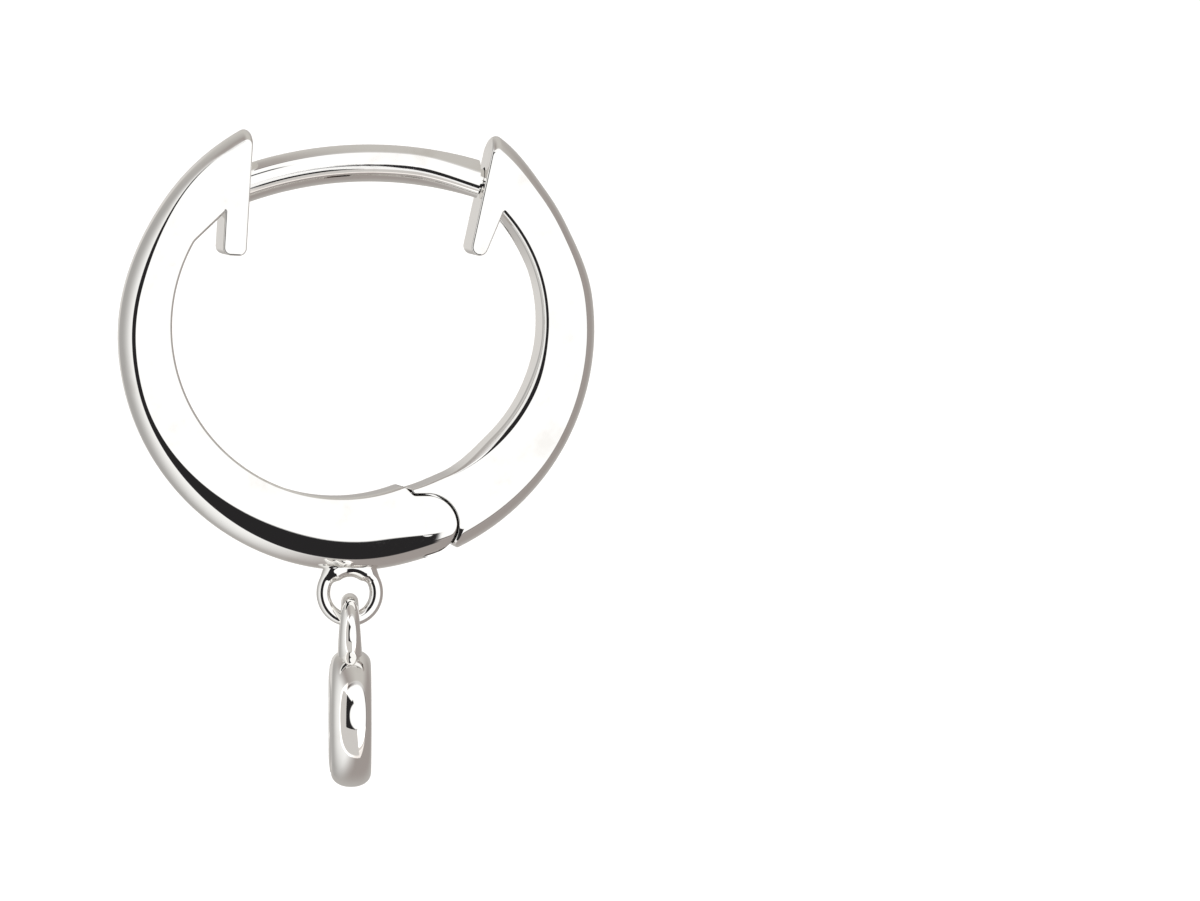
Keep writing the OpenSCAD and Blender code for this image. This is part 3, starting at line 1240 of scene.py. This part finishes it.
@dataclass
class RearHalf(Half):
    """The hinged rear half of the hoop, with its knuckle, jaw and tooth.

    Attributes:
        tooth_drop: how far the tooth reaches below the post's middle.
        tip_r: rounding of the tooth's tip.
        tooth_lean: lean of the tooth's back.
        inner_edge: rounding along the inside of the band.
        dome: the outer edge.
        beak_r: rounding of the pointed corner at the seam.
        neck_root: how far the knuckle's neck runs past the seam.
    """

    tooth_drop: float = 2.64
    tip_r: float = 0.24
    tooth_lean: float = 23.0
    inner_edge: Rounding = Rounding(
        0.2,
        (Ramp(0.1, -5.0, -25.0), Ramp(-0.22, -46.0, -68.0)),
        (Ramp(-0.03, -5.0, -25.0), Ramp(0.18, -46.0, -68.0), Ramp(0.1, -68.0, -84.0)),
        0.15,
    )
    dome: Dome = Dome(
        0.44,
        (Ramp(0.16, -30.0, -60.0), Ramp(-0.065, 8.0, 26.0), Ramp(0.065, 36.0, 52.0)),
        (Ramp(0.12, 8.0, 26.0), Ramp(-0.12, 36.0, 52.0)),
    )
    beak_r: float = 0.04
    neck_root: float = 0.12

    def outline(self) -> Plate:
        """Lay out the half's outline, from the hinge up the outside."""
        p = self.plan
        up, out = p.lean(p.rear_lean)
        _, back_out = p.lean(self.tooth_lean)
        wall = np.array([p.jaw_gap / 2, 0.0])
        tip_z = self.tip_r - self.tooth_drop
        tip = np.array([wall[0] + (tip_z * up[0] + self.tip_r) / up[1], tip_z])
        in_c, in_r = p.arm_in_c, p.arm_in_r
        seat_r = p.knuckle_r + p.seam
        beak = p.beak + p.seam * np.array([math.tan(math.radians(p.beak_bevel) / 2), 1.0])
        outer = Round(p.arm_c, p.outer_r + p.arm_extra_r, self.dome, 170)
        edges = [
            outer,
            Straight(wall, -out, self.edge, 30),
            Straight(tip + self.tip_r * back_out, back_out, self.edge, 20),
            Round(in_c, in_r, self.inner_edge, 130, hollow=True),
            Straight(beak, -p.bevel, self.seam_edge, 8),
            Straight(beak, np.array([0.0, -1.0]), self.seam_edge, 6),
            Round(p.pin_c, seat_r, self.seam_edge, 40, hollow=True),
            Shoulder(p.pin_c, seat_r, outer, p.shoulder_at, p.band_w / 2),
        ]
        corners = [
            Corner(wall + 0.9 * up, self.apex_r, samples=10),
            Corner(tip, self.tip_r, samples=10),
            Corner(in_c + polar(in_r, 55.0), 0.06, inner=True),
            Corner(in_c + polar(in_r, -75.0), self.beak_r),
            Corner(beak, 0.1),
            Corner(beak, join=90.0, samples=1),
            Corner(p.pin_c + polar(seat_r + 0.05, p.shoulder_at), 0.04),
            Corner(p.pin_c + polar(seat_r + 0.1, p.shoulder_at + 4), 0.06),
        ]
        return Plate(edges, corners, p.band_w / 2)

    def knuckle(self) -> bpy.types.Object:
        """Make the knuckle that fills the front half's slot, with a neck into the rear half."""
        p = self.plan
        half = p.tongue_w / 2
        knuckle = disc("knuckle", p.pin_c, p.knuckle_r - p.seam / 2, half)
        turns = np.linspace(p.shoulder_at + 1.5, 88.0, 24)
        arc = [p.pin_c + polar(p.knuckle_r + self.neck_root, turn) for turn in turns]
        return combine(knuckle, prism("neck", np.array([p.pin_c, *arc]), half), Cut.JOIN)

    def build(
        self, finish: bpy.types.Material, seam_shade_and_dirt: bpy.types.Material, socket: bpy.types.Object
    ) -> bpy.types.Object:
        """Make the rear half, carve the snap socket in its jaw, and hang it on its body."""
        p = self.plan
        half = self.outline().build("rear_half")
        combine(half, self.knuckle(), Cut.JOIN)
        combine(half, socket, Cut.CARVE)
        bore = disc("bore", p.pin_c, p.pin_d / 2 + p.pin_run, p.band_w)
        combine(half, bore, Cut.CARVE)
        self.dress(half, finish, seam_shade_and_dirt, Body.ARM, "hoop_arm")
        return half


@dataclass
class ThumbTab:
    """The thumb tab on the rear half's far side, a small half moon along its inner face.

    Attributes:
        plan: sizes that both halves share.
        stand_out: how far the tab stands out from the band.
        length: its length along the band.
        thickness: its thickness.
        at: direction of its middle from the centre of the inner circle.
        drop: how far it is let down along the band.
        rim: rounding of its rim.
        root: how far it runs into the band.
        crease: angle over which its edges are shaded sharp.
        end_share: share of its length that is drawn, short of its points.
        least_out: least stand-out that its rim is worked out from.
        rim_share: the most of its stand-out that its rim takes.
    """

    plan: HoopPlan
    stand_out: float = 0.36
    length: float = 3.4
    thickness: float = 0.45
    at: float = 23.0
    drop: float = 0.27
    rim: float = 0.14
    root: float = 0.1
    crease: float = 45.0
    end_share: float = 0.999
    least_out: float = 0.004
    rim_share: float = 0.9

    def build(self, finish: bpy.types.Material) -> bpy.types.Object:
        """Make the tab and hang it on its body."""
        half = self.length / 2
        outline_r = (half**2 + self.stand_out**2) / (2 * self.stand_out)
        rings = []
        for turn in np.linspace(-math.pi / 2, math.pi / 2, 61):
            along = half * self.end_share * math.sin(turn)
            out = math.sqrt(outline_r**2 - along**2) - outline_r + self.stand_out
            rings.append(self._ring(along, out))
        tab = loft("thumb_tab", rings)
        sharpen(tab, self.crease)
        finish_piece(tab, finish, Body.ARM, ("hoop_arm",))
        return tab

    def _ring(self, along: float, out: float) -> np.ndarray:
        """Return the tab's section at a place along the band.

        Args:
            along: place along the band, from the tab's middle.
            out: how far the tab stands out there.

        Returns:
            Points of the section in millimetres.
        """
        p = self.plan
        rim = min(self.rim, max(out, self.least_out) * self.rim_share)
        turns = np.linspace(0, math.pi / 2, 9)
        low = rim * (1 - np.cos(turns))
        reach = out - rim * (1 - np.sin(turns))
        depth = np.concatenate([[0.0], low, self.thickness - low[::-1], [self.thickness]])
        stand = np.concatenate([[-self.root], reach, reach[::-1], [-self.root]])
        turn = math.radians(self.at) + along / p.arm_in_r
        r = p.arm_in_r + depth
        x, z = p.arm_in_c - np.array([0.0, self.drop])
        return np.stack(
            [x + r * math.cos(turn), p.band_w / 2 + stand, z + r * math.sin(turn)], axis=1
        )


@dataclass
class EarPost:
    """The arched post through the ear, with the snap tip at its end.

    Attributes:
        plan: sizes that both halves share.
        wire_d: diameter of the post.
        arch_r: radius of its arch.
        end_gap: gap between its end and the rear jaw.
        end_lean: lean of its end.
        tip_d: diameter of the snap tip.
        tip_len: length of the snap tip.
        socket_gap: gap between the tip and its socket.
        root: how far the post runs into the front jaw.
        tip_root: how far the tip runs into the post, in degrees about the hinge.
    """

    plan: HoopPlan
    wire_d: float = 1.06
    arch_r: float = 11.0
    end_gap: float = 0.05
    end_lean: float = 5.0
    tip_d: float = 0.66
    tip_len: float = 0.5
    socket_gap: float = 0.06
    root: float = 0.3
    tip_root: float = 3.0

    def _arch_z(self, x: float) -> float:
        """Return the height of the arch's middle line at a place along X."""
        return math.sqrt(self.arch_r**2 - x**2) - self.arch_r

    def tip(self, name: str, gap: float, finish: bpy.types.Material) -> bpy.types.Object:
        """Make the snap tip, or with a gap the hollow that takes it."""
        p = self.plan
        end_x = p.jaw_gap / 2 - self.end_gap
        away = np.array([end_x, self._arch_z(end_x)]) - p.pin_c
        reach = float(np.linalg.norm(away))
        at = math.degrees(math.atan2(away[1], away[0]))
        turn = math.degrees(self.tip_len / reach)
        radius = self.tip_d / 2 + gap
        rod = WireTree(False, 48, 40).build(
            name,
            reach,
            radius,
            upright(p.pin_c),
            finish,
            start=at - turn,
            sweep=turn + self.tip_root,
        )
        x, z = p.pin_c + polar(reach, at - turn)
        ball = revolve("ball", half_circle(radius), 48, Matrix.Translation((x, 0, z)))
        return combine(rod, ball, Cut.JOIN)

    def build(self, finish: bpy.types.Material) -> bpy.types.Object:
        """Make the post with its tip and hang it on its body."""
        p = self.plan
        centre = np.array([0.0, -self.arch_r])
        start_x = -p.jaw_gap / 2 - self.root
        end_x = p.jaw_gap / 2 + self.root
        begin = math.degrees(math.acos(end_x / self.arch_r))
        stop = math.degrees(math.acos(start_x / self.arch_r))
        post = WireTree(False, 64, 90).build(
            "ear_post",
            self.arch_r,
            self.wire_d / 2,
            upright(centre),
            finish,
            start=begin,
            sweep=stop - begin,
        )
        end = p.jaw_gap / 2 - self.end_gap
        foot = self._arch_z(end) - self.wire_d / 2
        foot_x = end + foot * math.tan(math.radians(p.rear_lean))
        _, out = p.lean(self.end_lean)
        body = bmesh.new()
        body.from_mesh(post.data)
        cut = bmesh.ops.bisect_plane(
            body,
            geom=[*body.verts, *body.edges, *body.faces],
            plane_co=(foot_x * MM, 0, foot * MM),
            plane_no=(out[0], 0, out[1]),
            clear_outer=True,
        )
        rim = [e for e in cut["geom_cut"] if isinstance(e, bmesh.types.BMEdge)]
        bmesh.ops.contextual_create(body, geom=rim)
        body.to_mesh(post.data)
        body.free()
        face_out(post)
        combine(post, self.tip("snap_tip", 0.0, finish), Cut.JOIN)
        sharpen(post)
        finish_piece(post, finish, Body.FRONT, ("hoop_front",))
        return post


def half_circle(radius: float, count: int = 24) -> list[tuple[float, float]]:
    """Return the profile of a ball about the origin."""
    turns = np.linspace(-math.pi / 2, math.pi / 2, count)
    profile = [(radius * math.cos(t), radius * math.sin(t)) for t in turns]
    profile[0] = (0.0, -radius)
    profile[-1] = (0.0, radius)
    return profile


@dataclass
class CharmLoop:
    """The wire loop soldered under the hoop, which the charm hangs from.

    Attributes:
        plan: sizes that both halves share.
        outer_d: diameter over the wire.
        wire_d: diameter of the wire.
        at: direction of the loop from the hoop's centre.
        sink: how far it reaches into the hoop.
        solder: share by which the solder thickens the wire's feet.
        solder_run: where that is whole and where it ends, as shares of the half way round.
    """

    plan: HoopPlan
    outer_d: float = 1.92
    wire_d: float = 0.39
    at: float = -90.9
    sink: float = 0.33
    solder: float = 0.6
    solder_run: tuple[float, float] = (0.2, 0.36)

    @property
    def centre(self) -> np.ndarray:
        """Centre of the loop."""
        reach = self.plan.outer_r + self.outer_d / 2 - self.sink
        return self.plan.hoop_c + polar(reach, self.at)

    @property
    def bend(self) -> float:
        """Radius of the wire's middle line."""
        return (self.outer_d - self.wire_d) / 2

    def build(self, finish: bpy.types.Material) -> bpy.types.Object:
        """Make the loop and hang it on the front body."""
        loop = WireTree(True).build(
            "charm_loop",
            self.bend,
            self.wire_d / 2,
            upright(self.centre, 90.0),
            finish,
            flare=self.solder,
            flare_run=self.solder_run,
        )
        finish_piece(loop, finish, Body.FRONT, ("hoop_front",))
        return loop


# The charm


@dataclass
class Charm:
    """The charm: a soldered ring, a round cup and a cut stone that faces forward.

    Attributes:
        loop: the loop that it hangs from.
        turn: how far it is turned about the upright, in degrees.
        ring_d: outer diameter of its ring.
        ring_wire: thickness of the ring.
        ring_taper: thickness of its top as a share of that.
        ring_solder: share by which it is thicker where it meets the cup.
        solder_run: where that is whole and where it ends, as shares of the half way round.
        hang_gap: gap between the ring and the loop.
        cup_d: outer diameter of the cup.
        cup_t: depth of the cup.
        rim_round: depth of the cup's rounded rim.
        rim_square: how square the rim is, from 2 for an ellipse.
        ring_fall: fall of the front face from the stone to the rim.
        stone_d: diameter of the stone.
        lip: how far the metal covers the stone's edge.
        lip_edge: rounding of the lip.
        lip_falls: how far the face has fallen at places outside the lip, furthest first.
        table_share: diameter of the stone's table as a share of the stone's.
        star_share: diameter through the points of the facets round the table, as such a share.
        low_share: diameter through the points of the small lower facets, as such a share.
        table_drop: depth of the table below the cup's lip.
        crown_h: height of the stone's crown.
        girdle_h: height of its girdle.
        pavilion_h: height of its pavilion.
        stone_gap: gap between the stone and its seat.
        segments: faces round the cup.
    """

    loop: CharmLoop
    turn: float = 8.0
    ring_d: float = 2.16
    ring_wire: float = 0.53
    ring_taper: float = 0.92
    ring_solder: float = 0.42
    solder_run: tuple[float, float] = (0.1, 0.9)
    hang_gap: float = 0.05
    cup_d: float = 3.93
    cup_t: float = 1.2
    rim_round: float = 0.42
    rim_square: float = 2.15
    ring_fall: float = 0.06
    stone_d: float = 2.45
    lip: float = 0.055
    lip_edge: float = 0.025
    lip_falls: tuple[tuple[float, float], ...] = ((0.3, 0.03), (0.1, 0.008))
    table_share: float = 0.53
    star_share: float = 0.8
    low_share: float = 0.24
    table_drop: float = 0.04
    crown_h: float = 0.31
    girdle_h: float = 0.04
    pavilion_h: float = 0.66
    stone_gap: float = 0.02
    segments: int = 160

    @property
    def place(self) -> Matrix:
        """Place of the charm's own frame, at the point that it hangs from."""
        x, z = self.loop.centre
        hang = Matrix.Translation(Vector((x, 0, z - self.loop.bend)))
        return hang @ Matrix.Rotation(math.radians(-self.turn), 4, "Z")

    @property
    def ring_z(self) -> float:
        """Height of the ring's centre in the charm's frame."""
        return self.loop.wire_d / 2 + self.hang_gap - self.ring_d / 2 + self.ring_wire

    @property
    def cup_place(self) -> Matrix:
        """Place of the cup's axis, from the middle of its back to its front."""
        low = self.ring_z - self.ring_d / 2 + self.ring_wire - self.cup_d / 2
        sit = Matrix.Translation(Vector((self.cup_t / 2, 0, low)))
        return self.place @ sit @ Matrix.Rotation(math.radians(-90), 4, "Y")

    def ring(self, finish: bpy.types.Material) -> bpy.types.Object:
        """Make the ring that links the cup to the loop."""
        sit = Matrix.Translation(Vector((0, 0, self.ring_z)))
        face = Matrix.Rotation(math.radians(90), 4, "Y")
        made = WireTree(True).build(
            "bail_ring",
            (self.ring_d - self.ring_wire) / 2,
            self.ring_wire / 2 * self.ring_taper,
            self.place @ sit @ face,
            finish,
            flare=self.ring_solder,
            flare_run=self.solder_run,
        )
        finish_piece(made, finish, Body.CHARM, ("charm_setting",))
        return made

    def cup_profile(self) -> list[tuple[float, float]]:
        """Lay out the cup's section, from the middle of its back to the middle of its seat."""
        radius = self.cup_d / 2
        rim_z = self.cup_t - self.ring_fall
        mouth = self.stone_d / 2 - self.lip + self.stone_gap
        seat = self.stone_d / 2 + self.stone_gap
        girdle_top = self.cup_t - self.table_drop - self.crown_h
        profile = [(r, 0.0) for r in np.linspace(0.2, radius - self.rim_round - 0.1, 6)]
        profile.insert(0, (0.0, 0.0))
        power = 2 / self.rim_square
        for t in np.radians(np.linspace(-90, 88, 60)):
            across = self.rim_round * (abs(math.cos(t)) ** power - 1)
            along = rim_z / 2 * (1 + math.copysign(abs(math.sin(t)) ** power, t))
            profile.append((radius + across, along))
        edge = self.lip_edge
        for out, fall in self.lip_falls:
            profile.append((mouth + edge + out, self.cup_t - fall))
        for t in np.linspace(90, 180, 7):
            across, along = polar(edge, t)
            profile.append((mouth + edge + across, self.cup_t - edge + along))
        lip_low = girdle_top + self.lip * self.crown_h / (self.stone_d / 2 * (1 - self.table_share))
        girdle_low = girdle_top - self.girdle_h
        return profile + [
            (mouth, lip_low + self.stone_gap),
            (seat, girdle_top + self.stone_gap),
            (seat, girdle_low - self.stone_gap),
            (0.0, girdle_low - self.pavilion_h - self.stone_gap),
        ]

    def cup(self, finish: bpy.types.Material) -> bpy.types.Object:
        """Make the cup that holds the stone."""
        made = revolve("bezel_cup", self.cup_profile(), self.segments, self.cup_place)
        sharpen(made)
        finish_piece(made, finish, Body.CHARM, ("charm_setting",))
        return made

    def stone(self, finish: bpy.types.Material) -> bpy.types.Object:
        """Cut the stone: a table, 32 crown facets, a girdle and 24 pavilion facets."""
        radius = self.stone_d / 2
        table_r = radius * self.table_share
        star_r = radius * self.star_share
        half_r = radius * self.low_share
        table_z = self.cup_t - self.table_drop
        girdle_top = table_z - self.crown_h
        girdle_low = girdle_top - self.girdle_h
        culet_z = girdle_low - self.pavilion_h
        between = 22.5
        inside = math.cos(math.radians(between))
        star_z = table_z - self.crown_h * (star_r * inside - table_r) / (radius - table_r)
        half_z = culet_z + self.pavilion_h * half_r * inside / radius

        def circle(r: float, z: float, count: int, start: float) -> list[tuple[float, ...]]:
            """Return points round the stone's axis."""
            return [(*polar(r, start + 360.0 * i / count), z) for i in range(count)]

        points = [
            *circle(table_r, table_z, 8, 0.0),
            *circle(star_r, star_z, 8, between),
            *circle(radius, girdle_top, 16, 0.0),
            *circle(radius, girdle_low, 16, 0.0),
            *circle(half_r, half_z, 8, between),
            (0.0, 0.0, culet_z),
        ]
        star, top, low, half, culet = 8, 16, 32, 48, 56
        faces = [tuple(range(8))]
        for i in range(8):
            faces.append((i, star + i, (i + 1) % 8))
            faces.append((i, star + (i + 7) % 8, top + 2 * i, star + i))
            faces.append((star + i, top + 2 * i, top + 2 * i + 1))
            faces.append((star + i, top + 2 * i + 1, top + (2 * i + 2) % 16))
            faces.append((half + i, low + 2 * i + 1, low + 2 * i))
            faces.append((half + i, low + (2 * i + 2) % 16, low + 2 * i + 1))
            faces.append((culet, half + i, low + 2 * i, half + (i + 7) % 8))
        for i in range(16):
            j = (i + 1) % 16
            faces.append((top + i, low + i, low + j, top + j))
        made = mesh_object("cut_stone", np.array(points), faces)
        face_out(made)
        set_down(made, self.cup_place)
        made.data.shade_flat()
        finish_piece(made, finish, Body.CHARM, ("charm_stone",))
        return made


# The studio


@dataclass(frozen=True)
class Panel:
    """A light panel in the mirrored surroundings of a few pieces.

    It stands square to the direction that the band's flat side mirrors. Its sizes are shares of
    how far off it stands.

    Attributes:
        name: name of the panel.
        corner: its upper left corner, to the right and up of that direction.
        width: its width.
        height: its height, down from the corner.
        slant: turn of its left edge from upright, in degrees.
        tone: colour and brightness.
    """

    name: str
    corner: tuple[float, float]
    width: float
    height: float
    slant: float
    tone: tuple[float, float, float]


WHITE = (1.0, 1.0, 1.0)
BEIGE = (0.62, 0.60, 0.58)
POST_PANELS = (
    Panel("post_front", (0.008, -0.2), 0.9, 0.3, 0.0, WHITE),
    Panel("post_side", (0.04, -0.5), 0.9, 0.4, 6.5, WHITE),
    Panel("post_low", (-1.2, -0.9), 1.3, 0.35, 0.0, WHITE),
    Panel("post_beige", (-1.2, -1.25), 2.6, 2.0, 0.0, BEIGE),
)
CHARM_PANELS = (
    Panel("charm_low", (-0.75, -0.45), 2.0, 2.6, 0.0, BEIGE),
    Panel("charm_left", (-3.0, 2.0), 2.25, 4.8, 0.0, BEIGE),
)


@dataclass(frozen=True)
class Studio:
    """Pale floor, soft light all round with one dark card, and the camera.

    Attributes:
        azimuth: the camera's angle round the object, 0 looking along +Y.
        elevation: its angle above the horizon.
        distance: its distance from the object.
        px_mm: millimetres that one image pixel spans at the object.
        origin_px: where the object's origin lies in the image.
        floor_z: height of the floor.
        floor_reach: how far the floor goes each way.
        sensor: width of the camera's sensor.
        panel_far: how far off the panels stand.
        sun_energy: strength of the overhead light.
        sun_spread: how widely it is spread, in degrees.
        sun_turn: its turn about each axis, in degrees.
    """

    azimuth: float = -9.5
    elevation: float = 2.7
    distance: float = 500.0
    px_mm: float = 0.0285
    origin_px: tuple[float, float] = (366.9, 163.0)
    floor_z: float = -24.0
    floor_reach: float = 12000.0
    sensor: float = 36.0
    panel_far: float = 1000.0
    sun_energy: float = 2.15
    sun_spread: float = 50.0
    sun_turn: tuple[float, float, float] = (24.0, -18.0, 0.0)

    def axes(self) -> tuple[Vector, Vector, Vector]:
        """Return the camera's way right, up and back."""
        a = math.radians(self.azimuth)
        e = math.radians(self.elevation)
        back = Vector((math.sin(a) * math.cos(e), -math.cos(a) * math.cos(e), math.sin(e)))
        right = Vector((math.cos(a), math.sin(a), 0.0))
        return right, back.cross(right), back

    def mirror_axes(self) -> tuple[Vector, Vector, Vector]:
        """Return the way that the band's flat side mirrors, and the ways right and up of it."""
        _, _, back = self.axes()
        mirror = Vector((-back.x, back.y, -back.z))
        side = Vector((0, 0, 1)).cross(mirror).normalized()
        return mirror, side, mirror.cross(side)

    def panel(self, plan: Panel, pieces: list[bpy.types.Object]) -> bpy.types.Object:
        """Make a light panel that only some pieces mirror.

        Args:
            plan: where it stands and how bright it is.
            pieces: the pieces that mirror it.

        Returns:
            The panel's light.
        """
        far = self.panel_far * MM
        mirror, side, over = self.mirror_axes()
        turn = math.radians(plan.slant)
        across = side * math.cos(turn) - over * math.sin(turn)
        up = side * math.sin(turn) + over * math.cos(turn)
        corner = mirror + side * plan.corner[0] + over * plan.corner[1]
        middle = corner + across * (plan.width / 2) - up * (plan.height / 2)
        data = bpy.data.lights.new(plan.name, "AREA")
        data.shape = "RECTANGLE"
        data.size = plan.width * far
        data.size_y = plan.height * far
        data.color = plan.tone
        data.energy = math.pi * data.size * data.size_y
        made = new_object(plan.name, data)
        stand = Matrix((across, up, mirror)).transposed()
        made.matrix_world = Matrix.Translation(middle * far) @ stand.to_4x4()
        made.visible_camera = False
        shown = bpy.data.collections.new(plan.name)
        for piece in pieces:
            shown.objects.link(piece)
        made.light_linking.receiver_collection = shown
        return made

    def camera(self) -> bpy.types.Object:
        """Make the scene's camera at the photograph's angle and framing."""
        right, up, back = self.axes()
        across = (IMAGE_W / 2 - self.origin_px[0]) * self.px_mm
        down = (IMAGE_H / 2 - self.origin_px[1]) * self.px_mm
        target = (right * across - up * down) * MM
        data = bpy.data.cameras.new("camera")
        data.sensor_width = self.sensor
        data.lens = self.sensor * self.distance / (IMAGE_W * self.px_mm)
        data.clip_start = 0.01
        data.clip_end = 20.0
        made = new_object("camera", data)
        made.location = target + back * self.distance * MM
        made.rotation_mode = "QUATERNION"
        made.rotation_quaternion = back.to_track_quat("Z", "Y")
        bpy.context.scene.camera = made
        return made

    def floor(self) -> bpy.types.Object:
        """Make the floor, which shows but is not mirrored in the metal."""
        signs = [(-1, -1), (1, -1), (1, 1), (-1, 1)]
        points = [(x * self.floor_reach, y * self.floor_reach, self.floor_z) for x, y in signs]
        made = mesh_object("floor", np.array(points), [(0, 1, 2, 3)])
        finish = bpy.data.materials.new("pale_floor")
        graph = graph_of(finish)
        grain = graph.noise(graph.place(), 0.02, 2.0).step(0.3, 0.7)
        colour = graph.mix(grain, opaque(0.96, 0.96, 0.96), opaque(0.98, 0.98, 0.98))
        shader = graph.node("ShaderNodeBsdfDiffuse", {}, Color=colour)
        graph.node("ShaderNodeOutputMaterial", {}, Surface=shader.outputs[0])
        made.data.materials.append(finish)
        made.visible_glossy = False
        made.visible_shadow = False
        return made

    def lamp(self) -> bpy.types.Object:
        """Make the soft overhead light, which the metal does not mirror."""
        data = bpy.data.lights.new("overhead", "SUN")
        data.energy = self.sun_energy
        data.angle = math.radians(self.sun_spread)
        made = new_object("overhead", data)
        made.rotation_euler = [math.radians(turn) for turn in self.sun_turn]
        made.visible_glossy = False
        return made

    def surround(self) -> bpy.types.World:
        """Make the light all round: a white core, a dark card beside it and grey beyond."""
        world = bpy.data.worlds.new("studio")
        bpy.context.scene.world = world
        graph = graph_of(world)
        way = graph.node("ShaderNodeTexCoord", {}).outputs["Generated"]
        split = graph.node("ShaderNodeSeparateXYZ", {}, way).outputs
        x, y, z = (Value(graph, out) for out in split)
        mirror, side, over = self.mirror_axes()

        def toward(axis: Vector) -> Value:
            """Return how far the direction goes along an axis."""
            return x * axis.x + y * axis.y + z * axis.z

        off = toward(mirror).maths("ARCCOSINE") * (180 / math.pi)
        turned = toward(over).maths("ARCTAN2", toward(side)) * (180 / math.pi)
        way_round = turned.maths("WRAP", 360.0, 0.0)
        # The dark card, a crescent on the left that runs further off from the upper left down.
        reach = way_round.step(122.0, 138.0) * 38.0 + 31.0
        low_end = off * 0.2 + 276.5
        card = way_round.step(112.0, 117.0) * (low_end - way_round).step(0.0, 3.0)
        card = card * off.step(21.0, 24.0) * (reach - off).step(0.0, 3.0)
        # The white core, wider on the left, and the greys beyond it on each side.
        leftward = way_round.between(110.0, 280.0, 34.0)
        upward = way_round.between(20.0, 116.0, 36.0)
        left = graph.mix(off.step(68.0, 150.0), opaque(0.98, 0.98, 0.97), opaque(0.42, 0.41, 0.40))
        low = graph.mix(off.step(100.0, 150.0), opaque(0.36, 0.325, 0.31), opaque(0.47, 0.45, 0.43))
        right = graph.mix(upward, low, opaque(0.58, 0.56, 0.53))
        core = 1.0 - off.step(57.0, 63.0) * (1.0 - leftward) - off.step(66.0, 72.0) * leftward
        ground = graph.mix(core, graph.mix(leftward, right, left), opaque(1.12, 1.12, 1.12))
        # The thin dark line round the core's right side, and the pale wall opposite.
        rim = off.between(52.0, 62.0, 4.0) * (1.0 - leftward) * (1.0 - upward * 0.6)
        lined = graph.mix(rim, ground, opaque(0.12, 0.09, 0.08))
        walled = graph.mix(off.step(164.0, 172.0), lined, opaque(0.70, 0.68, 0.655))
        lit = graph.mix(card, walled, opaque(0.022, 0.021, 0.022))
        seen = graph.node("ShaderNodeLightPath", {}).outputs["Is Camera Ray"]
        shown = graph.mix(seen, lit, opaque(*WHITE))
        glow = graph.node("ShaderNodeBackground", {}, Color=shown, Strength=1.0)
        graph.node("ShaderNodeOutputWorld", {}, Surface=glow.outputs[0])
        return world

    def build(self) -> None:
        """Set the whole studio up."""
        self.camera()
        self.floor()
        self.lamp()
        self.surround()
        bpy.context.scene.view_settings.view_transform = "Standard"


def main() -> None:
    """Build the earring and the studio, and log the face count of each piece."""
    logging.basicConfig(level=logging.INFO, format="%(name)s: %(message)s")
    metal = Polish("polished_white_metal").build()
    wire = Polish("drawn_wire", wave_mm=0.002, waves_per_mm=1.2).build()
    bent = Polish("bent_wire", wave_mm=0.002, waves_per_mm=1.2, lean=0.18, end_lean=-0.14).build()
    spun = Polish("spun_cup", lean=0.09, end_lean=0.09).build()
    # A near-black metal colour for the faces inside the hinge's seam: painted shade and dirt of the
    # narrow gap.
    seam_shade_and_dirt = Polish("painted_seam_shade_and_dirt", (0.09, 0.065, 0.05), (0.05, 0.035, 0.03), 0.45).build()
    clear = CutStone("clear_stone").build()
    plan = HoopPlan()
    studio = Studio()
    studio.build()
    FrontHalf(plan).build(metal, seam_shade_and_dirt)
    rivet(plan, metal)
    post = EarPost(plan)
    arch = post.build(bent)
    RearHalf(plan).build(metal, seam_shade_and_dirt, post.tip("socket", post.socket_gap, wire))
    ThumbTab(plan).build(metal)
    loop = CharmLoop(plan)
    loop.build(wire)
    charm = Charm(loop)
    ring = charm.ring(wire)
    cup = charm.cup(spun)
    charm.stone(clear)
    for panel in POST_PANELS:
        studio.panel(panel, [arch])
    for panel in CHARM_PANELS:
        studio.panel(panel, [ring, cup])


if __name__ == "__main__":
    main()
